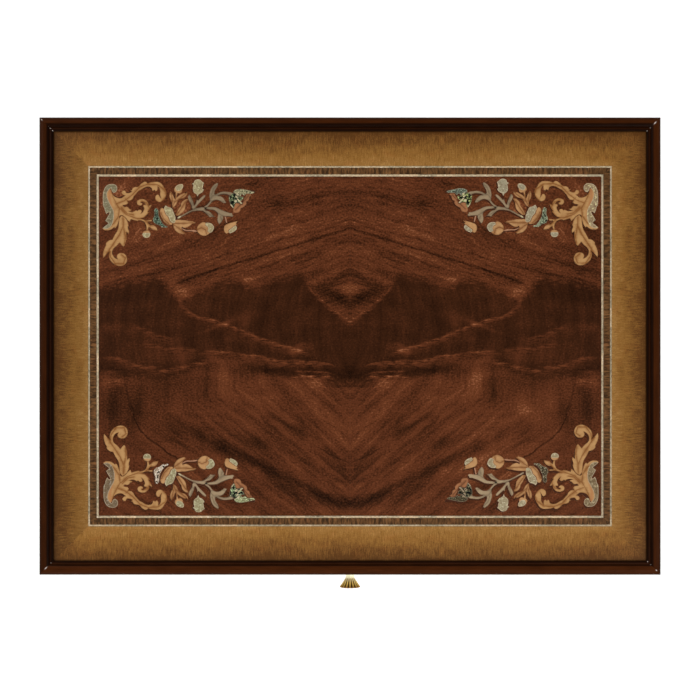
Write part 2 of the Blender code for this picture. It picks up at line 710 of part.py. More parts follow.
def make_rails(shop):
    """The back and side rails, each with a tenon drawn out of both ends."""
    for name, (length, place, turn) in rail_places().items():
        bm = bmesh.new()
        size = Matrix.Diagonal((length, RAIL_THICKNESS, APRON_HEIGHT, 1))
        bmesh.ops.create_cube(bm, size=1, matrix=size)
        ends = [face for face in bm.faces if abs(face.normal.x) > abs(face.normal.y + face.normal.z)]
        bmesh.ops.inset_individual(bm, faces=ends, thickness=TENON_SHOULDER, use_even_offset=True)
        for face in ends:
            grown = bmesh.ops.extrude_face_region(bm, geom=[face])
            moved = [item for item in grown["geom"] if isinstance(item, bmesh.types.BMVert)]
            way = math.copysign(TENON_LENGTH, moved[0].co.x)
            bmesh.ops.delete(bm, geom=[face], context="FACES_ONLY")
            bmesh.ops.translate(bm, verts=moved, vec=(way, 0, 0))
        shop.piece(name, mesh_from(bm, name), "mahogany", place, (0, 0, turn))


def rail_mortise(shop, name):
    """One bar through both legs, a little larger than the rail's tenons."""
    length, place, turn = rail_places()[name]
    size = (
        length + 2 * (TENON_LENGTH + GAP),
        RAIL_THICKNESS - 2 * (TENON_SHOULDER - GAP),
        APRON_HEIGHT - 2 * (TENON_SHOULDER - GAP),
    )
    return shop.cutter(f"{name}_mortise", block_mesh(name, size), place, (0, 0, turn))


def blade_mortise(shop):
    """The bar that lets the drawer blade's tenons into the front legs."""
    reach = LEG_IN_X - GAP + TENON_LENGTH + GAP
    half = BLADE_TENON / 2 + GAP
    return block_cutter(
        shop, "blade_mortise", (-reach, reach), (BLADE_TENON_Y - half, BLADE_TENON_Y + half),
        (APRON_BOTTOM - GAP, BLADE_TOP + GAP),
    )


def both_ends(right):
    """An outline's right half and the same half mirrored."""
    return corners_of(right + [(-x, y) for x, y in reversed(right)])


def make_blade(shop):
    """The rail below the drawer, tenoned at full thickness into the front legs."""
    end = LEG_IN_X - GAP
    tip = end + TENON_LENGTH
    low = BLADE_TENON_Y - BLADE_TENON / 2
    high = BLADE_TENON_Y + BLADE_TENON / 2
    right = [(end, FRONT_FACE), (end, low), (tip, low), (tip, high), (end, high), (end, BLADE_BACK)]
    mesh = outline_mesh("drawer_blade", [both_ends(right)], BLADE_THICKNESS)
    shop.piece("drawer_blade", mesh, "mahogany", (0, 0, BLADE_TOP - BLADE_THICKNESS / 2))


def dovetail_key(clearance):
    """One end of the top rail's dovetail in plan, root to tip and back."""
    root = LEG_IN_X - GAP
    tip = root + TENON_LENGTH + clearance
    narrow = BLADE_TENON / 2 - DOVETAIL_FLARE + clearance
    wide = BLADE_TENON / 2 + clearance
    middle = BLADE_TENON_Y
    near = [(root, middle - narrow), (tip, middle - wide)]
    return near + [(tip, middle + wide), (root, middle + narrow)]


def make_top_rail(shop):
    """The rail above the drawer, dovetailed into the tops of the front legs."""
    end = LEG_IN_X - GAP
    right = [(end, FRONT_FACE)] + dovetail_key(0) + [(end, BLADE_BACK)]
    mesh = outline_mesh("front_top_rail", [both_ends(right)], TOP_RAIL_THICKNESS)
    shop.piece("front_top_rail", mesh, "mahogany", (0, 0, FRAME_TOP - TOP_RAIL_THICKNESS / 2))


def top_rail_mortise(shop):
    """The bow-tie that cuts the dovetail's sockets, open at the legs' tops."""
    height = TOP_RAIL_THICKNESS + GAP + OVERRUN
    mesh = outline_mesh("top_rail_mortise", [both_ends(dovetail_key(GAP))], height)
    return shop.cutter("top_rail_mortise", mesh, (0, 0, FRAME_TOP + OVERRUN - height / 2))


def make_drawer_guides(shop):
    """Runners with guides, kickers above the drawer, and two stops on the blade."""
    front = BLADE_BACK + GAP
    back = LEG_IN_Y - GAP
    outer = RAIL_IN_X - GAP
    inner = outer - RUNNER_WIDTH
    guide = LEG_IN_X + GAP
    for side, sign in (("left", -1), ("right", 1)):
        section = [
            (inner, BLADE_TOP - RUNNER_THICKNESS), (outer, BLADE_TOP - RUNNER_THICKNESS),
            (outer, BLADE_TOP + GUIDE_RISE), (guide, BLADE_TOP + GUIDE_RISE),
            (guide, BLADE_TOP), (inner, BLADE_TOP),
        ]
        points = corners_of([(sign * x, z) for x, z in section])
        mesh = outline_mesh(f"drawer_runner_{side}", [points], back - front)
        middle = (0, (front + back) / 2, 0)
        shop.piece(f"drawer_runner_{side}", mesh, "oak", middle, FACING_FRONT)
        x = sorted((sign * inner, sign * outer))
        block(
            shop, f"kicker_{side}", x, (front, back), (FRAME_TOP - KICKER_THICKNESS, FRAME_TOP), "oak",
        )
        stop = FRONT_BACK + GAP
        centre = sign * (FRONT_HALF - STOP_INSET)
        block(
            shop, f"drawer_stop_{side}", (centre - STOP_LENGTH / 2, centre + STOP_LENGTH / 2),
            (stop, stop + STOP_DEPTH), (BLADE_TOP + GAP, BLADE_TOP + GAP + STOP_THICKNESS), "oak",
        )


def make_top_fixings(shop):
    """Buttons that grip a groove in the back rail, and rubbed glue blocks."""
    rail = next(part for part in shop.parts.objects if part.name == "back_rail")
    tongue_high = FRAME_TOP - BUTTON_DROP
    tongue_low = tongue_high - BUTTON_TONGUE
    low = FRAME_TOP - BUTTON_THICKNESS
    face = RAIL_IN_Y - GAP
    grip = RAIL_IN_Y + BUTTON_GRIP
    section = [
        (face - BUTTON_DEPTH, low), (face, low), (face, tongue_low), (grip, tongue_low),
        (grip, tongue_high), (face, tongue_high), (face, FRAME_TOP), (face - BUTTON_DEPTH, FRAME_TOP),
    ]
    triangle = [(face - GLUE_BLOCK_SIDE, FRAME_TOP), (face, FRAME_TOP - GLUE_BLOCK_SIDE), (face, FRAME_TOP)]
    for side, sign in (("left", -1), ("right", 1)):
        mesh = outline_mesh(f"top_button_{side}", [corners_of(section)], BUTTON_LENGTH)
        place = sign * BUTTON_PLACE
        shop.piece(f"top_button_{side}", mesh, "oak", (place, 0, 0), FACING_SIDE)
        half = BUTTON_LENGTH / 2 + GAP
        slot = block_cutter(
            shop, f"button_slot_{side}", (place - half, place + half),
            (RAIL_IN_Y - OVERRUN, grip + GAP), (tongue_low - GAP, tongue_high + GAP),
        )
        cut(rail, slot)
        mesh = outline_mesh(f"glue_block_{side}", [corners_of(triangle)], GLUE_BLOCK_LENGTH)
        shop.piece(f"glue_block_{side}", mesh, "oak", (sign * GLUE_BLOCK_PLACE, 0, 0), FACING_SIDE)


def tails(root, end, low, high, count):
    """Dovetails up a side's end, as (y, z) points."""
    pitch = (high - low) / count
    points = []
    for index in range(count):
        middle = low + pitch * (index + 0.5)
        narrow = pitch * TAIL_ROOT_SHARE / 2
        wide = pitch * TAIL_END_SHARE / 2
        points += [(root, middle - narrow), (end, middle - wide)]
        points += [(end, middle + wide), (root, middle + narrow)]
    return points


def side_outline():
    """A drawer side seen square on, with the tails at both of its ends."""
    front_root = FRONT_BACK + GAP
    front_end = FRONT_FACE + FRONT_LAP + GAP
    back_root = BACK_FRONT - GAP
    front_tails = tails(front_root, front_end, SIDE_LOW, SIDE_HIGH, FRONT_TAIL_COUNT)
    back_tails = tails(back_root, BACK_FACE, BOTTOM_HIGH, BACK_HIGH, BACK_TAIL_COUNT)
    points = [(BACK_FACE, SIDE_LOW), (BACK_FACE, BOTTOM_HIGH), (back_root, BOTTOM_HIGH)]
    points += back_tails
    points += [(back_root, SIDE_HIGH), (front_root, SIDE_HIGH)]
    points += front_tails[::-1]
    points.append((front_root, SIDE_LOW))
    return corners_of(points)


def drawer_front_mesh():
    """The drawer's front, rebated all round its face for the cock beads."""
    depth = FRONT_THICKNESS - COCK_BEAD_DEPTH
    bm = bmesh.new()
    size = Matrix.Diagonal((2 * FRONT_HALF, depth, FRONT_HIGH - FRONT_LOW, 1))
    bmesh.ops.create_cube(bm, size=1, matrix=size)
    bmesh.ops.translate(bm, verts=bm.verts, vec=(0, FRONT_THICKNESS - depth / 2, 0))
    face = min(bm.faces, key=lambda item: item.calc_center_median().y)
    bmesh.ops.inset_individual(bm, faces=[face], thickness=COCK_BEAD + GAP, use_even_offset=True)
    grown = bmesh.ops.extrude_face_region(bm, geom=[face])
    moved = [item for item in grown["geom"] if isinstance(item, bmesh.types.BMVert)]
    bmesh.ops.delete(bm, geom=[face], context="FACES_ONLY")
    bmesh.ops.translate(bm, verts=moved, vec=(0, -COCK_BEAD_DEPTH, 0))
    return mesh_from(bm, "drawer_front")


def make_drawer_front(shop, side_tool, groove):
    """The front with its sockets, its groove and the hole for the knob's screw."""
    place = (0, FRONT_FACE, KNOB_LEVEL)
    front = shop.piece("drawer_front", drawer_front_mesh(), "mahogany", place, drawer=True)
    for tool in side_tool:
        cut(front, tool)
    cut(front, groove)
    radius = SCREW_RADIUS + GAP
    depth = FRONT_THICKNESS + OVERRUN
    hole = turned_mesh(
        "knob_screw_hole", [(0, -OVERRUN), (radius, -OVERRUN), (radius, depth), (0, depth)], SCREW_COLUMNS,
    )
    back_facing = (math.radians(-90), 0, 0)
    cut(front, shop.cutter("knob_screw_hole", hole, place, back_facing, drawer=True))


def make_cock_beads(shop):
    """Four mitred beads round the drawer's front, proud of its face."""
    nose = COCK_BEAD / 2
    section = arc((nose, COCK_BEAD_PROUD - nose), (nose, nose), 180, 0, NOSE_STEPS)
    foot = GAP - COCK_BEAD_DEPTH
    section += [(COCK_BEAD, foot), (0, foot)]
    half_height = (FRONT_HIGH - FRONT_LOW) / 2
    sizes = {
        "bottom": (FRONT_HALF, half_height, 0),
        "right": (half_height, FRONT_HALF, 1),
        "top": (FRONT_HALF, half_height, 2),
        "left": (half_height, FRONT_HALF, 3),
    }
    for side, (half_length, half_width, quarter) in sizes.items():
        mesh = mitred_mesh(f"cock_bead_{side}", section, half_length, half_width)
        mesh.transform(Matrix.Rotation(quarter * math.pi / 2, 4, "Z"))
        place = (0, FRONT_FACE, KNOB_LEVEL)
        shop.piece(f"cock_bead_{side}", mesh, "mahogany", place, FACING_FRONT, drawer=True)


def make_drawer_box(shop):
    """Sides, back and bottom, dovetailed together and grooved for the bottom."""
    middle = SIDE_IN_X + SIDE_THICKNESS / 2
    groove = block_cutter(
        shop, "bottom_groove",
        (-SIDE_IN_X - GROOVE_DEPTH, SIDE_IN_X + GROOVE_DEPTH),
        (FRONT_BACK - GROOVE_DEPTH, BACK_FACE + OVERRUN),
        (BOTTOM_LOW - GAP, BOTTOM_HIGH + GAP), drawer=True,
    )
    side_groove = block_cutter(
        shop, "side_groove",
        (-SIDE_IN_X - GROOVE_DEPTH, SIDE_IN_X + GROOVE_DEPTH),
        (FRONT_FACE - OVERRUN, BACK_FACE + OVERRUN),
        (BOTTOM_LOW - GAP, BOTTOM_HIGH + GAP), drawer=True,
    )
    tools = []
    for side, sign in (("left", -1), ("right", 1)):
        name = f"drawer_side_{side}"
        mesh = outline_mesh(name, [side_outline()], SIDE_THICKNESS)
        panel = shop.piece(name, mesh, "oak", (sign * middle, 0, 0), FACING_SIDE, drawer=True)
        cut(panel, side_groove)
        socket = outline_mesh(name, [side_outline()], SIDE_THICKNESS + 2 * GAP, GAP)
        tool = shop.cutter(f"{name}_sockets", socket, (sign * middle, 0, 0), FACING_SIDE, drawer=True)
        tools.append(tool)
    back = block(
        shop, "drawer_back", (-FRONT_HALF, FRONT_HALF), (BACK_FRONT, BACK_FACE),
        (BACK_LOW, BACK_HIGH), "oak", drawer=True,
    )
    for tool in tools:
        cut(back, tool)
    edge = SIDE_IN_X + GROOVE_DEPTH - GAP
    block(
        shop, "drawer_bottom", (-edge, edge), (FRONT_BACK - GROOVE_DEPTH + GAP, BACK_FACE),
        (BOTTOM_LOW, BOTTOM_HIGH), "oak", drawer=True,
    )
    make_drawer_front(shop, tools, groove)


def knob_profile():
    """The knob from its foot to its tip, as (radius, distance from the drawer)."""
    rim = KNOB_REACH - KNOB_DOME
    waist_shares = (
        (0.00, 1.00), (0.06, 1.00), (0.10, 0.86), (0.20, 0.68), (0.40, 0.62), (0.60, 0.62),
        (0.70, 0.66), (0.78, 0.77), (0.86, 1.01), (0.92, 1.24), (0.96, 1.42),
    )
    points = [(0, GAP)]
    for along, across in waist_shares:
        points.append((KNOB_BASE_RADIUS * across, GAP + (rim - GAP) * along))
    points.append((KNOB_RADIUS, rim))
    dome = arc((0, rim), (KNOB_RADIUS, KNOB_DOME), 0, 90, NOSE_STEPS)
    return points + dome[1:]


def make_knob(shop):
    """The fluted brass knob and the screw that holds it from inside the drawer."""
    place = (0, FRONT_FACE, KNOB_LEVEL)
    flutes = (KNOB_REACH * FLUTE_START_SHARE, KNOB_REACH - KNOB_DOME / 2)
    mesh = turned_mesh("knob", knob_profile(), KNOB_COLUMNS, flutes)
    knob = shop.piece("knob", mesh, "brass", place, FACING_FRONT, drawer=True)
    radius = SCREW_RADIUS + GAP
    depth = GAP + SCREW_GRIP + GAP
    bore = [(0, -OVERRUN), (radius, -OVERRUN), (radius, depth), (0, depth)]
    tool = shop.cutter(
        "knob_bore", turned_mesh("knob_bore", bore, SCREW_COLUMNS), place, FACING_FRONT, drawer=True,
    )
    cut(knob, tool)
    seat = -FRONT_THICKNESS - GAP
    profile = [
        (0, seat - SCREW_HEAD), (SCREW_HEAD_RADIUS, seat - SCREW_HEAD), (SCREW_HEAD_RADIUS, seat),
        (SCREW_RADIUS, seat), (SCREW_RADIUS, SCREW_GRIP), (0, SCREW_GRIP),
    ]
    screw = turned_mesh("knob_screw", profile, SCREW_COLUMNS)
    shop.piece("knob_screw", screw, "brass", place, FACING_FRONT, drawer=True)


def main():
    """Build the table."""
    clear_scene()
    shop = Workshop()
    make_top(shop)
    make_legs(shop)
    make_rails(shop)
    make_blade(shop)
    make_top_rail(shop)
    make_drawer_guides(shop)
    make_top_fixings(shop)
    make_drawer_box(shop)
    make_cock_beads(shop)
    make_knob(shop)


main()
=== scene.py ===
"""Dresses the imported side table: its mouldings, figured top, marquetry, knob, finishes and stage."""

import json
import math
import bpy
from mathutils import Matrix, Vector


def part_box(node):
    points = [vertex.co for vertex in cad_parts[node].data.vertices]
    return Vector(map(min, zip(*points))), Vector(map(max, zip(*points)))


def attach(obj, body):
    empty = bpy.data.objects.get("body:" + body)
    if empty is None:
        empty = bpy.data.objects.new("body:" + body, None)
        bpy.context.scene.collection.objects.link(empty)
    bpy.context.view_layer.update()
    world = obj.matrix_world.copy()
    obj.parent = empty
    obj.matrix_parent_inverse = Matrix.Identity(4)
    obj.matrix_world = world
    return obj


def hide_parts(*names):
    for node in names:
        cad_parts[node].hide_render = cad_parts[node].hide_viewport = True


bl_info = {
    "name": "Marquetry side table",
    "version": (1, 0, 0),
    "blender": (4, 5, 0),
    "location": "3D View > Sidebar > Side table",
    "description": "Makes the table's visible pieces and finishes around its packed frame",
    "category": "Add Mesh",
}

import bmesh
import bpy
import numpy as np
from mathutils import Matrix, Vector

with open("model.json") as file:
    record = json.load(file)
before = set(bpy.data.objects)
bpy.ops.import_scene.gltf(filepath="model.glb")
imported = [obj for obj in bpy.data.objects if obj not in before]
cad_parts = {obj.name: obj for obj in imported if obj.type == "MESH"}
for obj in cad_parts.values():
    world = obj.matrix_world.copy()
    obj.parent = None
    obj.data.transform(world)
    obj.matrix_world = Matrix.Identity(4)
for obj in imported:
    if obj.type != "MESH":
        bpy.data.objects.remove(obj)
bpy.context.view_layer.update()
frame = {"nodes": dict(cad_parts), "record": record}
NODES = frame["nodes"]
NEEDED_SLOTS = {material["slot"] for material in frame["record"]["materials"]}

# The top's own lines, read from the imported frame
FIELD_LOW, FIELD_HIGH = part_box("field_leaf_left")
HALF_FIELD = -FIELD_LOW.x
FIELD_FRONT = FIELD_LOW.y
FIELD_BACK = FIELD_HIGH.y
MIDDLE_Y = (FIELD_FRONT + FIELD_BACK) / 2
VENEER_TOP = FIELD_HIGH.z
EDGE_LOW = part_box("edge_moulding_left")[0]
EDGE_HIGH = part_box("edge_moulding_right")[1]
HALF_TOP = EDGE_HIGH.x
HALF_TOP_Y = (EDGE_HIGH.y - EDGE_LOW.y) / 2

MM = 0.001
# The figure and the marquetry are laid out in marks, each a pixel of the photo in metres, and
# the figure's curves reach over a span of them
MARK = 0.0012258
SPAN = 340

# Distances in from the outer face of the top, in millimetres: the moulding, the middle of the
# strip, and where the mitres of the border and of the strip start and end
MOULDING_WIDE = 16.8
MID_STRIP = 65.0
BORDER_MITRE = (17.1, 59.3)
STRIP_MITRE = (61.7, 69.5)
# Half the width of the stopping in the field's joint and in the mitres, in marks
FIELD_STOPPING = 0.078
MITRE_STOPPING = 0.115
# Thicknesses of the veneer, of the ground below it and of the moulding's tongue, and how far
# the tongue reaches in, in millimetres
VENEER = 1.5
GROUND = 18.0
TONGUE_THICK = 5.0
TONGUE_LONG = 7.0

# Each corner of the top, and on which side of the middle it lies along x and y
CORNERS = {
    "back_left": (-1, 1),
    "back_right": (1, 1),
    "front_left": (-1, -1),
    "front_right": (1, -1),
}
SIDES = ("front", "right", "back", "left")
# A third number in an outline's point: the curve has a sharp corner there
SHARP = 1


def linear(colour):
    """A colour written as it looks, 0 to 255, in linear light."""
    shares = [part / 255 for part in colour]
    light = [s / 12.92 if s <= 0.04045 else ((s + 0.055) / 1.055) ** 2.4 for s in shares]
    return (*light, 1.0)


def looks(colour):
    """A panel colour, 0 to 1 as it looks, as 0 to 255."""
    return tuple(part * 255 for part in colour)


def colour_property(name, description, colour):
    """A panel colour with its default written 0 to 255."""
    return bpy.props.FloatVectorProperty(
        name=name,
        description=description,
        subtype="COLOR_GAMMA",
        size=3,
        min=0,
        max=1,
        default=tuple(part / 255 for part in colour),
    )


def number_property(name, description, default, unit="NONE"):
    """A panel number."""
    return bpy.props.FloatProperty(
        name=name, description=description, default=default, unit=unit, min=0
    )


class TableStage(bpy.types.PropertyGroup):
    """Camera, lamps and floor."""

    camera_height: number_property(
        "Camera height", "Height of the camera above the veneers", 2.3, "LENGTH"
    )
    camera_forward: number_property(
        "Camera forward", "How far the camera stands in front of the top's middle", 0.1, "LENGTH"
    )
    lens: number_property("Lens", "Focal length in millimetres", 96.6, "CAMERA")
    floor_radius: number_property("Floor radius", "Reach of the pale floor", 8.0, "LENGTH")
    lamp_power: number_property("Lamp power", "Power that the lamps share out", 36.0, "POWER")
    sky: number_property("Room light", "Strength of the light from all round", 0.35)


class TableWoods(bpy.types.PropertyGroup):
    """Colours of the woods, metals and pearl lines."""

    heart: colour_property("Heart", "Dark heart of the crotch mahogany", (56, 28, 12))
    flame: colour_property("Flame", "Red-brown flame of the crotch mahogany", (89, 46, 25))
    mahogany: colour_property("Mahogany", "Polished mahogany of the frame", (70, 31, 14))
    moulding: colour_property("Moulding", "Dark mahogany of the edge moulding", (57, 26, 7))
    satinwood: colour_property("Satinwood", "Pale parts of the border", (141, 100, 51))
    crossband: colour_property("Crossband", "Strip between the two pearl lines", (94, 64, 36))
    boxwood: colour_property("Boxwood", "Pale wood of the scrolls", (178, 136, 88))
    burnt: colour_property("Burnt boxwood", "Sand-scorched boxwood", (128, 82, 42))
    stained: colour_property("Stained wood", "Grey-green stems and leaves", (138, 118, 92))
    pearl: colour_property("Pearl", "Warm lengths of the mother-of-pearl lines", (200, 174, 140))
    oak: colour_property("Oak", "Oak inside the table", (150, 112, 70))
    brass: colour_property("Brass", "Brass of the knob", (240, 204, 110))
    steel: colour_property("Steel", "Steel of the glides", (150, 148, 144))


class Number:
    """One number of a shader, for sums written as Python."""

    def __init__(self, finish, socket):
        self.finish = finish
        self.socket = socket

    def sum(self, operation, *values):
        """A Math node's result."""
        node = self.finish.node("ShaderNodeMath", {"operation": operation}, values)
        return Number(self.finish, node.outputs[0])

    def __add__(self, other):
        return self.sum("ADD", self, other)

    def __sub__(self, other):
        return self.sum("SUBTRACT", self, other)

    def __mul__(self, other):
        return self.sum("MULTIPLY", self, other)

    def __truediv__(self, other):
        return self.sum("DIVIDE", self, other)

    def __rsub__(self, other):
        return self.sum("SUBTRACT", other, self)

    def __neg__(self):
        return self.sum("MULTIPLY", self, -1.0)

    def __abs__(self):
        return self.sum("ABSOLUTE", self)

    __radd__ = __add__
    __rmul__ = __mul__

    def least(self, other):
        """The smaller of two numbers."""
        return self.sum("MINIMUM", self, other)

    def most(self, other):
        """The larger of two numbers."""
        return self.sum("MAXIMUM", self, other)

    def over(self, other):
        """1 where this is greater, otherwise 0."""
        return self.sum("GREATER_THAN", self, other)

    def rise(self, low, high):
        """A smooth step from 0 at low to 1 at high."""
        settings = {"interpolation_type": "SMOOTHSTEP"}
        node = self.finish.node("ShaderNodeMapRange", settings, (self, low, high, 0.0, 1.0))
        return Number(self.finish, node.outputs[0])

    def near(self, reach, soft):
        """1 close to zero, and 0 from a reach on, with a soft step between."""
        return (reach - self).rise(0.0, soft)

    def fading(self):
        """1 at zero, falling towards nothing as the number grows."""
        return self.sum("EXPONENT", -self)

    def hump(self, width):
        """1 at zero, fading to nothing a few widths away on both sides."""
        return (self * self * (1.0 / (width * width))).fading()


class Finish:
    """A procedural material and the nodes that make it."""

    def __init__(self, name):
        self.material = bpy.data.materials.new(name)
        self.material.use_nodes = True
        self.tree = self.material.node_tree
        self.tree.nodes.clear()

    def node(self, kind, settings=None, values=()):
        """Adds a node: its settings first, then the values or links of its sockets."""
        node = self.tree.nodes.new(kind)
        for name, setting in (settings or {}).items():
            setattr(node, name, setting)
        pairs = values.items() if isinstance(values, dict) else enumerate(values)
        for key, value in pairs:
            if isinstance(value, Number):
                value = value.socket
            if isinstance(value, bpy.types.NodeSocket):
                self.tree.links.new(value, node.inputs[key])
            else:
                node.inputs[key].default_value = value
        return node

    def place(self):
        """The point's x, y and z on the object."""
        where = self.node("ShaderNodeTexCoord").outputs["Object"]
        split = self.node("ShaderNodeSeparateXYZ", values=(where,))
        return [Number(self, socket) for socket in split.outputs]

    def attribute(self, name):
        """A number stored for each point of the piece."""
        node = self.node("ShaderNodeAttribute", {"attribute_name": name})
        return Number(self, node.outputs["Fac"])

    def noise(self, x, y, z=0.0, detail=2.0, roughness=0.5, distortion=0.0):
        """Noise, 0 to 1, whose grain is one unit of the numbers given."""
        vector = self.node("ShaderNodeCombineXYZ", values=(x, y, z)).outputs[0]
        values = {
            "Vector": vector,
            "Scale": 1.0,
            "Detail": detail,
            "Roughness": roughness,
            "Distortion": distortion,
        }
        return Number(self, self.node("ShaderNodeTexNoise", values=values).outputs["Fac"])

    def cells(self, x, y, z=0.0):
        """A random number, 0 to 1, for each whole step of the numbers given."""
        vector = self.node("ShaderNodeCombineXYZ", values=(x, y, z)).outputs[0]
        settings = {"noise_dimensions": "3D"}
        node = self.node("ShaderNodeTexWhiteNoise", settings, {"Vector": vector})
        return Number(self, node.outputs["Value"])

    def course(self, along, points, smooth=True):
        """A drawn curve over a number, both in marks."""
        node = self.node("ShaderNodeFloatCurve", values=(1.0, along / SPAN))
        node.mapping.extend = "HORIZONTAL"
        curve = node.mapping.curves[0]
        ordered = sorted(points)
        curve.points[0].location = (ordered[0][0] / SPAN, ordered[0][1] / SPAN)
        curve.points[-1].location = (ordered[-1][0] / SPAN, ordered[-1][1] / SPAN)
        for point in ordered[1:-1]:
            curve.points.new(point[0] / SPAN, point[1] / SPAN)
        for point in curve.points:
            point.handle_type = "AUTO" if smooth else "VECTOR"
        node.mapping.update()
        return Number(self, node.outputs[0]) * float(SPAN)

    def ramp(self, value, stops):
        """Colours along a number, each stop a place and a colour 0 to 255."""
        node = self.node("ShaderNodeValToRGB", values=(value,))
        elements = node.color_ramp.elements
        while len(elements) < len(stops):
            elements.new(0.5)
        for element, (place, colour) in zip(elements, stops):
            element.position = place
            element.color = linear(colour)
        return node.outputs[0]

    def mix(self, share, first, second, blend="MIX"):
        """One colour turning into another."""
        settings = {"data_type": "RGBA", "blend_type": blend}
        values = {0: share, 6: first, 7: second}
        return self.node("ShaderNodeMix", settings, values).outputs[2]

    def tinted(self, colour, amount):
        """A colour made darker or lighter by a number round 1."""
        grey = self.node("ShaderNodeCombineXYZ", values=(amount, amount, amount)).outputs[0]
        return self.mix(1.0, colour, grey, "MULTIPLY")

    def bump(self, height, microns):
        """A surface pressed in and out by some thousandths of a millimetre."""
        values = {"Strength": 0.6, "Distance": microns * 0.001 * MM, "Height": height}
        return self.node("ShaderNodeBump", values=values).outputs[0]

    def surface(self, colour, roughness, normal=None, fixed=None):
        """Ends the material in one Principled shader, with its other sockets in fixed."""
        values = {"Base Color": colour, "Roughness": roughness, **(fixed or {})}
        if normal is not None:
            values["Normal"] = normal
        shader = self.node("ShaderNodeBsdfPrincipled", values=values)
        self.node("ShaderNodeOutputMaterial", values=(shader.outputs[0],))
        return self.material


def varied(tone, *grains):
    """A tone moved up and down by noises, each with its strength."""
    for noise, strength in grains:
        tone = tone + (noise - 0.5) * strength
    return tone


# The top is seen from straight above, so its polish is kept thin
RUBBED = {"Specular IOR Level": 0.12}
DULL = {"Specular IOR Level": 0.03}
POLISHED = {"Specular IOR Level": 0.22, "Coat Weight": 0.05, "Coat Roughness": 0.15}
SATIN = {"Specular IOR Level": 0.25}


def edge_distance(x, y):
    """How far a point of the top lies in from the outer face, in millimetres."""
    from_side = (HALF_TOP - abs(x)) / MM
    from_front = (HALF_TOP_Y - abs(y - MIDDLE_Y)) / MM
    return from_side, from_front


def across_edges(x, y):
    """Distance in from the edge, place along it, and 1 for the left and right mitred pieces."""
    from_side, from_front = edge_distance(x, y)
    side_piece = from_front.over(from_side)
    depth = from_side.least(from_front)
    along = (y * side_piece + x * (1.0 - side_piece)) / MM
    return depth, along, side_piece


def satinwood_border(look):
    """Four veneers, grained towards the middle and scorched next to the moulding."""
    finish = Finish("scorched_satinwood")
    x, y = finish.place()[:2]
    depth, along, side_piece = across_edges(x, y)
    seed = side_piece * 7.0
    sway = finish.noise(along / 12.0, depth / 20.0, seed, 1.0)
    streaks = finish.noise((along + sway * 7.0) / 2.0, depth / 11.0, seed, 3.0, 0.7)
    blotches = finish.noise(along / 13.0, depth / 9.0, seed + 3.0, 2.0, 0.6)
    broad = finish.noise(along / 60.0, depth / 60.0, seed + 5.0, 1.0)
    red = finish.noise(along / 17.0, depth / 10.0, seed + 9.0, 1.0).rise(0.5, 0.74)
    flecks = finish.noise(along / 1.3, depth / 3.2, 9.0, 1.0).rise(0.65, 0.76)
    fine = finish.noise(along / 1.1, depth / 11.0, seed + 12.0, 1.0)
    specks = finish.noise(along / 1.1, depth / 1.6, seed + 15.0, 1.0)
    # The scorched part is deeper where two lengths meet
    from_side, from_front = edge_distance(x, y)
    corner = (abs(from_side - from_front) / 10.0).fading() * 5.5
    tone = (depth - corner - MOULDING_WIDE) / 50.0
    tone = varied(tone, (streaks, 0.8), (fine, 0.8), (blotches, 0.55), (broad, 0.4), (specks, 0.7))
    stops = [
        (0.0, (86, 53, 21)),
        (0.18, (102, 66, 29)),
        (0.34, (115, 77, 34)),
        (0.63, (136, 95, 43)),
        (0.8, looks(look.satinwood)),
        (1.0, (160, 119, 65)),
    ]
    # Painted light: each length lighter or darker by how the lamps fall on its side of the top
    side_light = side_piece * (0.86 + x.over(0.0) * 0.12)
    ends = (1.0 - side_piece) * (1.1 - y.over(0.0) * 0.06)
    shadow = 0.45 + depth.rise(MOULDING_WIDE - 0.4, MOULDING_WIDE + 2.0) * 0.55
    colour = finish.ramp(tone, stops)
    redder = finish.mix(1.0, colour, (1.02, 0.84, 0.8, 1.0), "MULTIPLY")
    colour = finish.mix(red * 0.35, colour, redder)
    colour = finish.tinted(colour, (side_light + ends) * shadow * (1.0 - flecks * 0.4))
    return finish.surface(colour, 0.26 + streaks * 0.1, finish.bump(streaks, 40), RUBBED)


def cross_strip(look):
    """Crossbanding between the two pearl lines, streaked across its width."""
    finish = Finish("cross_strip")
    depth, along, side_piece = across_edges(*finish.place()[:2])
    seed = side_piece * 7.0
    streaks = finish.noise(along / 2.9, depth / 16.0, seed, 3.0, 0.75)
    broad = finish.noise(along / 14.0, depth / 20.0, seed + 2.0, 1.0)
    red = finish.noise(along / 19.0, depth / 30.0, seed + 6.0, 1.0).rise(0.5, 0.7)
    tone = varied(0.84, (streaks, 5.6), (broad, 0.8))
    colour = finish.mix(red * 0.7, linear(looks(look.crossband)), linear((98, 62, 35)))
    colour = finish.tinted(colour, tone.most(0.35).least(1.7))
    return finish.surface(colour, 0.28 + streaks * 0.1, finish.bump(streaks, 30), RUBBED)


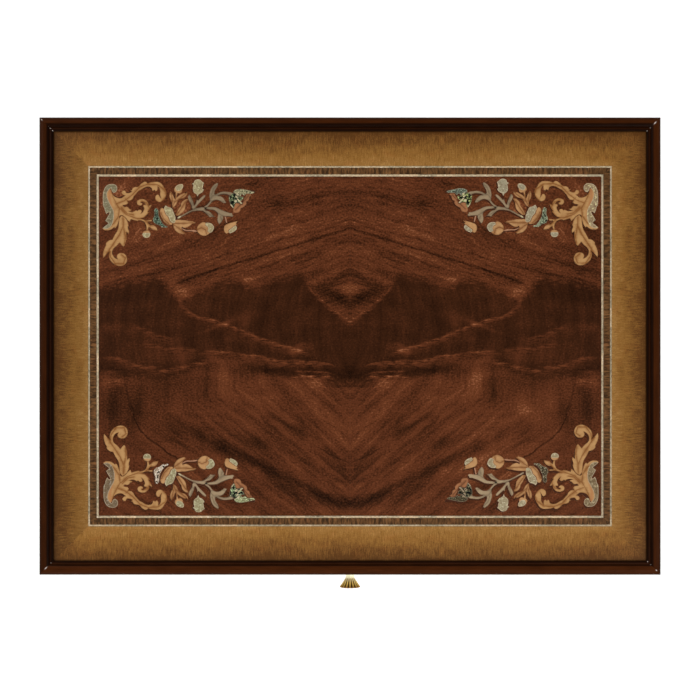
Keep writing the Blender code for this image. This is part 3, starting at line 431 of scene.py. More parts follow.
def pearl_line(look):
    """Short lengths of mother-of-pearl, each with its own gleam."""
    finish = Finish("pearl_line")
    x, y = finish.place()[:2]
    depth, along, side_piece = across_edges(x, y)
    inner = depth.over(MID_STRIP)
    # Each piece is 23 mm long, and the joints lie elsewhere in each line
    length = (along + side_piece * 11.0 + inner * 9.0) / 23.0
    step = length.sum("FLOOR", length)
    gleam = finish.cells(step, side_piece * 3.0, inner)
    waves = finish.noise(along / 3.4, depth / 1.5, side_piece * 5.0, 2.0)
    glint = finish.noise(along / 1.9, depth / 2.4, 4.0).rise(0.6, 0.7)
    lit = side_piece * x.over(0.0) * -0.07 + (1.0 - side_piece) * (y - MIDDLE_Y).over(0.0) * 0.07
    tone = varied(0.66 + gleam * 0.3 + inner * 0.04 + lit, (waves, 1.5))
    blush = finish.mix(gleam, linear((184, 168, 138)), linear(looks(look.pearl)))
    colour = finish.tinted(finish.mix(glint * 0.7, blush, linear((240, 228, 206))), tone)
    return finish.surface(colour, 0.22 + waves * 0.1, finish.bump(waves, 30), RUBBED)


# Painted glints on each mitre of the moulding: how deep they lie and how long they are
MITRE_GLINTS = {
    "back_left": ((3.4, 1.0), (13.6, 0.5), (16.5, 0.5)),
    "back_right": ((7.4, 1.7), (13.0, 0.6), (16.8, 0.4)),
    "front_left": ((8.6, 1.6), (14.7, 0.3)),
    "front_right": ((5.8, 0.9), (12.5, 0.4), (16.3, 0.5)),
}


def edge_wood(look):
    """Dark mahogany, with painted shade in the quirk, over the reed and along the outer edge, painted
    light on each side and painted glints on the mitres.
    """
    finish = Finish("edge_mahogany")
    x, y, z = finish.place()
    depth, along, side_piece = across_edges(x, y)
    below = (EDGE_HIGH.z - z) / MM
    fibres = finish.noise(along / 24.0, depth / 1.1, z / (1.1 * MM), 3.0, 0.6)
    broad = finish.noise(along / 30.0, depth / 8.0, side_piece * 4.0)
    back = (y - MIDDLE_Y).over(0.0)
    # Painted light: each length of the moulding lighter or darker by how the lamps fall on its side
    side_light = side_piece * (0.87 + x.over(0.0) * 0.25) + (1.0 - side_piece) * (1.3 - back * 0.17)
    tone = varied(0.88, (fibres, 0.6), (broad, 0.7)) * side_light
    # The painted shade of the quirk lies further out at the back and further in at the front, as the
    # camera sees it
    seen = depth + (1.0 - side_piece) * (back * 3.4 - 1.7)
    # Painted highlight: the reed's crest is left lighter between two bands of painted shade
    reed = 1.0 - (depth - 13.3).hump(1.2) * 0.5
    black = seen.rise(8.2, 10.4) * (9.0 - below).rise(0.0, 2.0) * reed
    # Painted shade along the outer edge, where the bead turns down
    rim = depth.rise(0.4, 2.2)
    tone = tone * (1.0 - black * 0.78) * (0.3 + rim * 0.7)
    # Painted highlights: pale glints along each mitre, where the joint catches the light
    from_side, from_front = edge_distance(x, y)
    mitre_glint = 0.0
    for corner, (rightward, backward) in CORNERS.items():
        here = (x * float(rightward)).over(0.0) * ((y - MIDDLE_Y) * float(backward)).over(0.0)
        for deep, wide in MITRE_GLINTS[corner]:
            mitre_glint = mitre_glint + here * (from_side - deep).hump(wide) * (from_front - deep).hump(wide)
    mitre_glint = mitre_glint * (from_side - from_front).hump(0.8)
    colour = finish.tinted(linear(looks(look.moulding)), tone)
    colour = finish.mix(mitre_glint.least(1.0), colour, linear((222, 208, 198)))
    return finish.surface(colour, 0.3 + fibres * 0.1, finish.bump(fibres, 30), DULL)


# The crotch figure is book-matched, so it is drawn out from the middle line and down from the
# back. The dark heart lies between two drawn lines.
HEART_BROW = (
    (0, 145), (14, 134), (33, 119), (43, 104), (48, 97), (53, 95), (75, 102), (95, 108),
    (104, 109), (109, 102), (125, 104), (150, 111), (160, 119), (170, 122), (177, 114),
    (184, 106), (192, 101), (220, 104), (251, 110),
)
HEART_CHEEK = (
    (0, 204), (20, 206), (36, 199), (62, 199), (76, 196), (92, 192), (115, 182), (138, 178),
    (150, 184), (165, 196), (190, 201), (214, 198), (251, 194),
)

# Dark and light lines of the figure: points, then width and strength
FIGURE_LINES = (
    (((0, 51), (27, 60), (72, 73.5), (123, 89), (182, 110)), 1.3, -0.34),
    (((0, 47.5), (90, 68.5), (118, 76.5), (190, 95), (241, 105)), 1.5, -0.16),
    (((0, 306), (14, 302), (34, 291), (56, 280)), 3.5, -0.18),
    (((0, 262.5), (16, 250), (34, 239)), 0.7, -0.22),
    (((0, 286.5), (17, 278), (40, 266)), 0.7, -0.20),
    (((0, 328), (10, 325), (42, 311), (74, 296), (107, 279), (138, 266)), 6.0, -0.36),
    (((40, 259), (61.5, 250), (81, 238), (90, 232)), 4.0, -0.22),
    (((74, 273), (98, 259), (108, 252)), 4.5, -0.24),
    (((142, 263), (160, 256), (176, 250), (190, 232)), 7.0, -0.16),
    (((165, 288), (178, 278), (190, 269), (208, 255), (216, 240), (222, 222), (225, 200)), 1.3, -0.34),
    (((214, 238), (221, 222), (225, 202), (228, 184)), 2.0, -0.16),
    (((38, 179), (46, 175.5), (72, 167.5), (91, 161), (117, 151), (136, 143.5),
      (158, 137), (172, 126)), 1.4, 0.30),
    (((14, 190.5), (22, 187.5), (31, 184.5)), 0.8, 0.30),
    (((20, 188.5), (32, 186.2), (49, 184.6), (74, 184), (90, 179), (107, 178), (129, 175),
      (152, 176)), 1.4, 0.26),
    (((12, 197), (22, 196), (45, 194.3), (62, 195)), 0.9, 0.26),
    (((30, 188), (60, 187), (84, 190)), 0.9, 0.14),
    (((14, 202), (24, 200), (34, 199.6), (50, 199.8), (66, 205)), 1.4, 0.34),
    (((0, 214), (20, 211), (44, 209)), 1.2, 0.12),
    (((140, 184), (161, 188.6), (182, 193.4), (200, 196)), 1.5, 0.28),
    (((190, 190), (209, 190), (222, 186), (235, 182), (251, 181)), 1.5, 0.24),
    (((148, 174), (170, 172), (190, 170), (212, 166)), 1.7, 0.16),
    (((172, 164), (188, 160), (206, 153), (224, 146)), 2.2, 0.16),
    (((222, 203), (235, 204), (251, 205)), 2.4, 0.24),
    (((228, 196), (240, 194), (251, 194)), 1.2, 0.16),
    (((0, 145), (14, 134), (33, 119.5), (46.5, 102)), 1.0, 0.24),
    (((0, 262), (16, 247), (40, 224), (62, 204)), 2.6, 0.10),
    (((0, 243), (14, 230), (28, 216), (42, 207)), 2.2, 0.07),
    (((158, 137), (166, 128), (176, 118), (184, 106)), 1.6, 0.14),
)

# Soft light and dark patches: centre, slope, reach along and across, and strength
FIGURE_PATCHES = (
    (170, 113, -0.5, 13, 6, 0.30),
    (103, 104, -0.3, 12, 4, 0.16),
    (50, 169, 0.3, 7, 2, 0.22),
    (85, 194, 0.0, 22, 4, -0.16),
    (10, 210, 0.0, 16, 2.5, -0.14),
    (240, 150, 0.1, 10, 4, 0.12),
    (174, 182, 0.0, 26, 6, 0.12),
    (136, 175, 0.0, 10, 2.5, 0.16),
    (100, 184, -0.05, 36, 4, 0.12),
    (47, 138, 0.0, 8, 6, 0.07),
    (30, 236, -0.9, 26, 6, 0.08),
    (0, 198, 0.0, 14, 9, -0.07),
    (92, 226, -0.8, 30, 7, 0.08),
    (222, 230, 6.0, 26, 22, -0.12),
    (24, 196, 0.0, 30, 7, -0.16),
    (160, 76, -0.3, 44, 9, 0.08),
    (155, 236, -0.6, 22, 14, -0.08),
    (52, 174, 0.3, 12, 3, 0.26),
    (128, 148, 0.35, 16, 2.5, 0.20),
    (40, 206, 0.1, 20, 6, 0.12),
    (96, 205, 0.3, 26, 8, 0.06),
    (122, 212, -1.1, 26, 7, 0.08),
    (6, 246, 0.8, 20, 14, 0.10),
    (174, 208, 0.1, 30, 12, -0.16),
    (238, 226, 6.0, 24, 9, -0.26),
    (214, 234, 6.0, 26, 7, -0.16),
    (165, 262, -0.7, 18, 7, -0.06),
    (158, 242, -1.2, 18, 8, -0.06),
    (88, 140, 2.5, 14, 5, -0.05),
    (105, 140, 3.0, 22, 6, 0.10),
    (70, 262, -0.6, 16, 5, -0.10),
    (240, 20, 0.1, 40, 10, 0.14),
    (10, 26, 0.05, 70, 7, -0.14),
    (228, 120, 0.2, 30, 8, -0.08),
    (60, 316, -0.5, 34, 6, -0.10),
    (14, 120, 0.0, 32, 16, -0.12),
    (20, 92, 0.0, 22, 5, 0.08),
    (150, 188, 0.0, 12, 5, -0.16),
    (90, 200, 0.0, 10, 5, -0.12),
    (60, 184, 0.0, 22, 7, -0.08),
    (10, 214, 0.0, 16, 6, -0.12),
    (42, 208, 0.0, 18, 6, 0.10),
    (96, 34, 0.1, 14, 6, 0.12),
    (190, 104, 0.0, 10, 7, -0.12),
    (146, 190, 0.0, 10, 6, -0.12),
    (118, 202, -0.5, 12, 7, 0.12),
    (94, 236, -0.8, 14, 6, 0.12),
    (142, 268, -0.5, 16, 8, -0.08),
    (96, 318, -0.5, 20, 8, -0.14),
    (54, 228, -0.8, 14, 7, 0.08),
    (176, 66, 0.0, 18, 8, -0.12),
    (166, 304, -0.3, 16, 9, 0.12),
    (20, 334, 0.0, 22, 5, 0.12),
    (246, 322, 0.0, 10, 8, -0.16),
)

# The same in the right leaf alone, which catches more light towards the front
RIGHT_PATCHES = (
    (136, 264, -0.6, 45, 18, 0.14),
    (178, 236, 0.9, 16, 7, 0.14),
    (126, 204, -1.1, 22, 8, 0.12),
    (141, 216, 3.0, 16, 5, -0.10),
    (200, 222, 0.0, 26, 16, 0.16),
    (130, 282, -0.4, 110, 40, 0.12),
    (238, 26, 0.0, 20, 26, -0.14),
    (236, 84, 0.0, 28, 34, -0.16),
)


def heart_edges(finish, out, down, cheek):
    """Two shares: below the drawn brow of the dark heart, and above its cheek."""
    brow = finish.course(out, HEART_BROW, smooth=False)
    ragged = (finish.noise(out / 8.0, down / 2.4, 4.0, 2.0, 0.65) - 0.5) * 20.0
    return (down - brow + ragged).rise(-4.5, 6.5), (cheek - down + ragged).rise(-7.0, 9.0)


def with_lines(finish, tone, out, down):
    """The tone with the drawn lines of the figure, the light ones broken into strands."""
    strands = finish.noise(out / 9.0, down / 1.6, 12.0, 3.0, 0.65).rise(0.36, 0.62) * 1.6 + 0.1
    for points, width, strength in FIGURE_LINES:
        apart = down - finish.course(out, points)
        first, last = points[0][0], points[-1][0]
        fade = [(last - 12, 1.0 * SPAN), (last, 0.0)]
        if first > 0:
            fade = [(first, 0.0), (first + 8, 1.0 * SPAN)] + fade
        amount = finish.course(out, fade, smooth=False) / SPAN
        shape = apart.hump(width)
        if strength > 0:
            # A light line is crisp above and trails away below
            shape = apart.least(0.0).hump(width) * (apart.most(0.0) / (width * 2.2)).fading()
            shape = shape * strands * 1.15
        tone = tone + shape * amount * strength
    return tone


def with_patches(tone, out, down, x):
    """The tone with the soft patches, some of them in the right leaf alone."""
    on_the_right = x.rise(-MM, MM)
    for share, patches in ((1.0, FIGURE_PATCHES), (on_the_right, RIGHT_PATCHES)):
        for centre_out, centre_down, tilt, reach, width, strength in patches:
            turn = math.atan(tilt)
            apart = out - centre_out
            under = down - centre_down
            along = (apart * math.cos(turn) + under * math.sin(turn)) / reach
            across = (under * math.cos(turn) - apart * math.sin(turn)) / width
            tone = tone + (along * along + across * across).fading() * strength * share
    return tone


def crotch_mahogany(look):
    """The book-matched field: a red-brown flame round a dark heart."""
    finish = Finish("crotch_mahogany")
    x, y = finish.place()[:2]
    plain_out = abs(x) / MARK
    plain_down = (FIELD_BACK - y) / MARK
    sway = finish.noise(plain_out / 34.0, plain_down / 24.0, 3.0, 2.0)
    shiver = finish.noise(plain_out / 9.0, plain_down / 9.0, 5.0, 2.0)
    out = varied(plain_out, (shiver, 2.0))
    down = varied(plain_down, (sway, 4.0), (shiver, 2.4))
    cheek = finish.course(out, HEART_CHEEK, smooth=False)
    below_brow, above_cheek = heart_edges(finish, out, down, cheek)
    in_heart = below_brow * above_cheek
    below = (down - cheek).rise(-8.0, 6.0)
    # Three grain directions: chevrons above, V-shapes below, and upright arcs in the heart
    slope = (0.1 + plain_down * 0.0035).least(0.33)
    chevron = down - slope * out
    vee = down - 186.0 + out * 0.9 - out * out * 0.0006
    nest = vee.most(out * 1.06)
    arc = out + (down - 150.0) * (down - 150.0) * 0.004
    upright = (plain_out - plain_down * 0.9 + 80.0).rise(0.0, 60.0)
    grain = []
    for across, along, seed, wide_share, fine_share in (
        (chevron, out, 1.0, 0.95, 0.85),
        (nest, out - down, 2.0, 1.1 - upright * 0.7, 0.4 - upright * 0.25),
        (arc, down, 3.0, 0.5, 0.2),
    ):
        wide = finish.noise(across / 11.0, along / 110.0, seed, 3.0, 0.65)
        fine = finish.noise(across / 2.1, along / 13.0, seed + 4.0, 3.0, 0.7)
        grain.append(((wide, wide_share), (fine, fine_share)))
    above_grain, below_grain, heart_grain = grain
    mottle = finish.noise(plain_out / 1.9, plain_down / 1.6, 6.0, 2.0, 0.6)
    blotch = finish.noise(plain_out / 22.0, plain_down / 15.0, 8.0, 2.0)
    pores = finish.noise(plain_out / 3.2, (plain_down + plain_out * 0.3) / 1.3, 2.0, 1.0)
    tone = in_heart * varied(0.27, *heart_grain)
    tone = tone + (1.0 - below_brow) * varied(0.55, *above_grain)
    tone = tone + below * (1.0 - in_heart) * below_brow * varied(0.50, *below_grain)
    calm = 1.15 - below_brow * 0.2 - in_heart * 0.45
    tone = varied(tone, (mottle, calm), (blotch, 0.3))
    tone = with_patches(with_lines(finish, tone, out, down), out, down, x)
    # Nested diamonds hang from the middle of the brow
    diamond = out / 38.0 + abs(down - 111.0) / 20.0
    nested = diamond.hump(0.34) * 0.3 - (diamond - 0.8).hump(0.3) * 0.3
    tone = tone + nested * (1.0 - below_brow) - pores.rise(0.63, 0.75) * 0.2
    stops = [
        (0.0, (26, 9, 2)),
        (0.27, looks(look.heart)),
        (0.57, looks(look.flame)),
        (0.78, (106, 58, 32)),
        (1.0, (148, 92, 61)),
    ]
    colour = finish.ramp(tone, stops)
    return finish.surface(colour, 0.22 + mottle * 0.08, finish.bump(mottle, 20), RUBBED)


def grained_wood(name, colour, grain, strength=0.55, fixed=SATIN, seed=0.0):
    """Straight-grained wood whose fibres run along x, y or z."""
    finish = Finish(name)
    place = finish.place()
    order = {"x": (0, 1, 2), "y": (1, 0, 2), "z": (2, 0, 1)}[grain]
    along, side, other = (place[index] / MM for index in order)
    sway = finish.noise(along / 70.0, side / 40.0, other / 40.0 + seed, 2.0)
    side = varied(side, (sway, 9.0))
    fibres = finish.noise(along / 45.0, side / 1.3, other / 1.3 + seed, 3.0, 0.6)
    rings = finish.noise(along / 160.0, side / 9.0, other / 9.0 + seed, 2.0, 0.5)
    pores = finish.noise(along / 7.0, side / 0.8, other / 0.8, 1.0).rise(0.62, 0.72)
    tone = varied(1.0, (fibres, strength), (rings, strength * 1.3)) - pores * 0.16
    shade = finish.tinted(linear(looks(colour)), tone)
    return finish.surface(shade, 0.3 + fibres * 0.18, finish.bump(fibres, 50), fixed)


def flamed_front(look):
    """Figured mahogany across the drawer's front."""
    finish = Finish("flamed_front")
    x, y, z = finish.place()
    sway = finish.noise(x / (70 * MM), z / (50 * MM), 2.0, 2.0)
    across = varied(z / MM, (sway, 26.0))
    flame = finish.noise(x / (110 * MM), across / 7.0, 1.0, 3.0, 0.6)
    fibres = finish.noise(x / (40 * MM), z / (1.1 * MM), y / (10 * MM), 3.0, 0.6)
    tone = varied(0.5, (flame, 1.1), (fibres, 0.3))
    stops = [(0.1, looks(look.heart)), (0.5, looks(look.flame)), (0.95, (124, 68, 38))]
    colour = finish.ramp(tone, stops)
    return finish.surface(colour, 0.26 + fibres * 0.1, finish.bump(fibres, 40), POLISHED)


# Glue round a motif, and the reddish wood beside the shell leaf, along a line in marks
GLUE = (66, 34, 19)
WARM = (165, 105, 65)
WARM_LINE = ((10.5, 14), (10, 22), (12, 32), (14.5, 40))


def scroll_wood(name, pale, dark, seed=0.0):
    """Veneer cut for marquetry: scorched along its veins, with a dark glue line round it."""
    finish = Finish(name)
    x, y = finish.place()[:2]
    across = finish.noise(x / (4.5 * MM), y / (1.2 * MM), seed, 3.0, 0.6)
    cloud = finish.noise(x / (11 * MM), y / (11 * MM), seed + 2.0, 2.0)
    vein = finish.attribute("vein")
    burn = vein.near(3.4 * MM, 3.4 * MM) * 0.55
    cut = vein.near(0.8 * MM, 0.6 * MM) * 0.55
    rim = finish.attribute("edge").near(1.2 * MM, 1.2 * MM) * 0.5
    tone = varied(burn + cut + rim + 0.06, (across, 0.9), (cloud, 1.5))
    colour = finish.ramp(tone, [(0.0, pale), (1.0, dark)])
    colour = finish.mix(finish.attribute("warm") * 0.7, colour, linear(WARM))
    colour = finish.mix(finish.attribute("glue"), colour, linear(GLUE))
    return finish.surface(colour, 0.26 + across * 0.1, finish.bump(across, 30), RUBBED)


def shell_finish(name, pale, dark, gleam, hollows=0.0, seed=0.0):
    """Mother-of-pearl or abalone: two shades in bands, bright gleams and black hollows."""
    finish = Finish(name)
    x, y = finish.place()[:2]
    # A shell with hollows is the finer grained abalone
    grain = 1.6 * MM if hollows else 2.8 * MM
    bands = finish.noise(x / grain, y / (grain * 0.6), seed, 3.0, 0.6, 1.2)
    cloud = finish.noise(x / (6 * MM), y / (6 * MM), seed + 3.0, 2.0)
    shade = (bands * 0.6 + cloud * 0.4).rise(0.34, 0.66)
    colour = finish.mix(shade, linear(dark), linear(pale))
    glint = finish.noise(x / (grain * 0.9), y / (grain * 0.9), seed + 7.0, 1.0).rise(0.57, 0.68)
    colour = finish.mix(glint, colour, linear(gleam))
    if hollows:
        hollow = finish.noise(x / (2.6 * MM), y / (3.2 * MM), seed + 11.0, 1.0)
        colour = finish.mix(hollow.near(hollows, 0.06), colour, linear((14, 16, 12)))
    rim = finish.attribute("edge").near(1.1 * MM, 0.8 * MM) * (0.2 if hollows else 0.5)
    colour = finish.mix(rim, colour, linear((198, 176, 144)))
    return finish.surface(colour, 0.2 + bands * 0.12, finish.bump(bands, 40), RUBBED)


def worn_metal(finish, colour):
    """A metal's colour with its wear, and the noise of that wear."""
    wear = finish.noise(*(part / (4 * MM) for part in finish.place()), 3.0, 0.6)
    return finish.tinted(colour, 0.86 + wear * 0.26), wear


def metal(name, colour, roughness):
    """Plain metal, a little worn and tarnished."""
    finish = Finish(name)
    shade, wear = worn_metal(finish, linear(looks(colour)))
    tarnish = finish.noise(*(part / (1.2 * MM) for part in finish.place()), 2.0)
    normal = finish.bump(wear, 40)
    return finish.surface(shade, roughness + tarnish * 0.16, normal, {"Metallic": 1.0})


def fluted_brass(look):
    """Worn brass with a painted reflection, bright at the neck and darker towards the end, and darker
    with patina down in the flutes.
    """
    finish = Finish("knob_brass")
    outward = finish.attribute("outward")
    patina = finish.attribute("hollow").rise(0.15, 0.85)
    bright = looks(look.brass)
    # Painted reflection: the ridges pale at the neck and darker towards the end
    ridge_reflection = finish.ramp(outward, [(0.6, (255, 248, 206)), (0.8, bright), (0.97, (140, 92, 16))])
    valley = [(0.62, (176, 140, 50)), (0.76, (104, 70, 4)), (0.96, (74, 42, 0))]
    shade, wear = worn_metal(finish, finish.mix(patina, ridge_reflection, finish.ramp(outward, valley)))
    # Painted reflection: the polished parts glow, standing in for lamps out of sight that they would
    # mirror
    gleam = finish.mix(patina, ridge_reflection, linear((0, 0, 0)))
    fixed = {"Metallic": 0.3, "Emission Color": gleam, "Emission Strength": 0.34}
    return finish.surface(shade, 0.26 + patina * 0.2, finish.bump(wear, 40), fixed)


def only(obj):
    """Selects one object alone and makes it active."""
    if bpy.context.object and bpy.context.object.mode != "OBJECT":
        bpy.ops.object.mode_set(mode="OBJECT")
    bpy.ops.object.select_all(action="DESELECT")
    if obj is not None:
        obj.select_set(True)
        bpy.context.view_layer.objects.active = obj


def settle(obj, name):
    """Gives a finished piece its name, and puts its place in its mesh."""
    only(obj)
    bpy.ops.object.transform_apply(location=True, rotation=True, scale=True)
    obj.name = name
    obj.data.name = name
    return obj


def edit(obj):
    """Opens a mesh for editing, with everything in it selected."""
    only(obj)
    bpy.ops.object.mode_set(mode="EDIT")
    bpy.ops.mesh.select_all(action="SELECT")


def right_way_out(obj):
    """Merges doubles and turns every face outwards."""
    edit(obj)
    bpy.ops.mesh.remove_doubles(threshold=0.002 * MM)
    bpy.ops.mesh.normals_make_consistent(inside=False)
    bpy.ops.object.mode_set(mode="OBJECT")


def own_copy(obj):
    """A copy of an object with its own mesh."""
    copy = obj.copy()
    copy.data = obj.data.copy()
    bpy.context.scene.collection.objects.link(copy)
    return copy


def closed_solid(knots, half_thick, fineness, **placing):
    """A solid from a closed flat curve: each knot is a place across and up, and its kind."""
    only(None)
    bpy.ops.curve.primitive_bezier_circle_add(radius=MM, **placing)
    obj = bpy.context.object
    points = obj.data.splines[0].bezier_points
    points.add(len(knots) - len(points))
    for point, (across, up, kind) in zip(points, knots):
        point.co = (across, up, 0)
        point.handle_left_type = kind
        point.handle_right_type = kind
    obj.data.dimensions = "2D"
    obj.data.fill_mode = "BOTH"
    obj.data.resolution_u = fineness
    obj.data.extrude = half_thick
    bpy.ops.object.convert(target="MESH")
    return settle(bpy.context.object, "solid")


def finish_piece(obj, material, body, slot, *nodes):
    """Gives a finished piece its material and body, checks that its slot is in the record, and hides
    the nodes it stands for.
    """
    if slot not in NEEDED_SLOTS:
        raise RuntimeError(f"the record has no slot named {slot}")
    obj.data.materials.clear()
    obj.data.materials.append(material)
    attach(obj, body)
    if nodes:
        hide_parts(*nodes)


def both(*names):
    """The names of the left and right node of each kind."""
    return [f"{name}_{side}" for name in names for side in ("left", "right")]


def dress(names, material):
    """Gives nodes of the frame a finish."""
    for name in names:
        for slot in NODES[name].material_slots:
            slot.material = material


def score(obj, pitch):
    """Cuts a flat piece along a square grid, so that its shading can vary across it."""
    points = np.array([vertex.co for vertex in obj.data.vertices])
    low, high = points.min(0), points.max(0)
    edit(obj)
    for axis in (0, 1):
        cuts = int((high[axis] - low[axis]) / pitch)
        for index in range(1, cuts + 1):
            place = [0.0, 0.0, 0.0]
            normal = [0.0, 0.0, 0.0]
            place[axis] = float(low[axis] + index * pitch)
            normal[axis] = 1.0
            bpy.ops.mesh.select_all(action="SELECT")
            bpy.ops.mesh.bisect(plane_co=place, plane_no=normal)
    bpy.ops.object.mode_set(mode="OBJECT")


def flat_points(obj):
    """Where a mesh's points lie along x and y."""
    return np.array([vertex.co[:2] for vertex in obj.data.vertices])


def drawn_lines(lines):
    """The starts and the ends of all straight parts of some lines drawn in marks."""
    starts, ends = [], []
    for line in lines:
        drawn = [np.array(at_mark(*mark)) for mark in line]
        starts.extend(drawn[:-1])
        ends.extend(drawn[1:])
    return starts, ends


def distance_to(points, starts, ends):
    """From each point, the distance to the nearest of some straight lines."""
    best = np.full(len(points), 1.0)
    for start, end in zip(starts, ends):
        along = end - start
        length = max(float(along @ along), 1e-12)
        share = np.clip(((points - start) @ along) / length, 0, 1)
        apart = points - start - share[:, None] * along
        best = np.minimum(best, np.sqrt((apart * apart).sum(1)))
    return best


def store(obj, name, numbers):
    """Keeps a number for each point, which the finishes read."""
    attribute = obj.data.attributes.new(name, "FLOAT", "POINT")
    attribute.data.foreach_set("value", np.asarray(numbers, dtype=np.float32))


def keep_distances(obj, veins):
    """Stores how far each point of a piece lies from its outline and from its veins."""
    mesh = bmesh.new()
    mesh.from_mesh(obj.data)
    starts, ends = [], []
    for line in mesh.edges:
        tilts = sorted(abs(face.normal.z) for face in line.link_faces)
        if len(tilts) == 2 and tilts[0] < 0.1 and tilts[1] > 0.9:
            starts.append(np.array(line.verts[0].co[:2]))
            ends.append(np.array(line.verts[1].co[:2]))
    mesh.free()
    store(obj, "edge", distance_to(flat_points(obj), starts, ends))
    store(obj, "vein", distance_to(flat_points(obj), *drawn_lines(veins)))


def at_mark(across, down, *_):
    """A point of the back left corner, given in marks from the field's corner."""
    return (across * MARK - HALF_FIELD, FIELD_BACK - down * MARK)


def cut_out(outline, low, high):
    """A closed curve cut out of veneer, smooth through its points except the sharp ones."""
    knots = [(*at_mark(*mark), "VECTOR" if len(mark) > 2 else "AUTO") for mark in outline]
    return closed_solid(knots, (high - low) / 2, 4, location=(0, 0, (low + high) / 2))


def joined(pieces):
    """Several meshes as one."""
    only(pieces[0])
    for piece in pieces[1:]:
        piece.select_set(True)
    if len(pieces) > 1:
        bpy.ops.object.join()
    right_way_out(pieces[0])
    return pieces[0]


def turned_copy(obj, name, signs):
    """A copy of a back left piece for another corner, with its own mesh."""
    copy = own_copy(obj)
    across, along = -signs[0], signs[1]
    shift = Matrix.Translation((0, MIDDLE_Y, 0))
    mirror = shift @ Matrix.Diagonal((across, along, 1, 1)) @ shift.inverted()
    copy.data.transform(mirror)
    if across * along < 0:
        copy.data.flip_normals()
    copy.name = name
    copy.data.name = name
    return copy


def lay(source, name, corner, material, slot, *nodes):
    """Lays a turned copy of a motif's piece in its corner, by hand a little off its bed."""
    piece = turned_copy(source, name, CORNERS[corner])
    rightward, backward = SLIPS[corner]
    glue = piece.data.attributes.get("glue")
    for vertex in piece.data.vertices:
        if glue is None or glue.data[vertex.index].value < 0.5:
            vertex.co.x += rightward * MARK
            vertex.co.y += backward * MARK
    finish_piece(piece, material, "table", slot, *nodes)


# Burnt lines across the two motifs, in marks from the field's corner
SCROLL_VEINS = (
    ((12, 14), (13.5, 20), (17, 27), (20, 32), (19, 40), (14, 47), (7, 51)),
    ((17, 27), (25, 24), (33, 18), (40, 10.5), (48, 7.5), (58, 8), (65, 13), (67, 19), (63, 24)),
    ((21, 32), (27, 38), (38, 42), (45, 41), (49, 37), (50, 31), (47, 26), (42, 25)),
    ((22, 31), (28, 37), (34, 38)),
    ((23.5, 41), (24, 49), (20, 58), (14, 67), (8, 76)),
    ((24, 50), (26, 60), (25, 67)),
    ((10, 72), (11, 80), (16, 87), (24, 87), (26, 81), (22, 78)),
    ((26, 22), (29, 25)),
    ((46, 44), (52, 50), (47, 57)),
)
SPRAY_VEINS = (
    ((76.5, 38), (88, 35), (100, 30), (108, 26), (113, 19), (125, 17), (133, 19)),
    ((89, 34), (94, 25), (98, 19)),
    ((91, 31), (92, 24), (90.5, 18.5)),
    ((106, 33), (118, 36), (128, 42), (136, 46)),
    ((121, 40), (124, 48), (124.5, 55)),
    ((97, 34), (107, 36), (114, 40)),
    ((112, 18), (114, 12), (118, 8)),
    ((111, 24), (117, 25), (124, 25)),
)
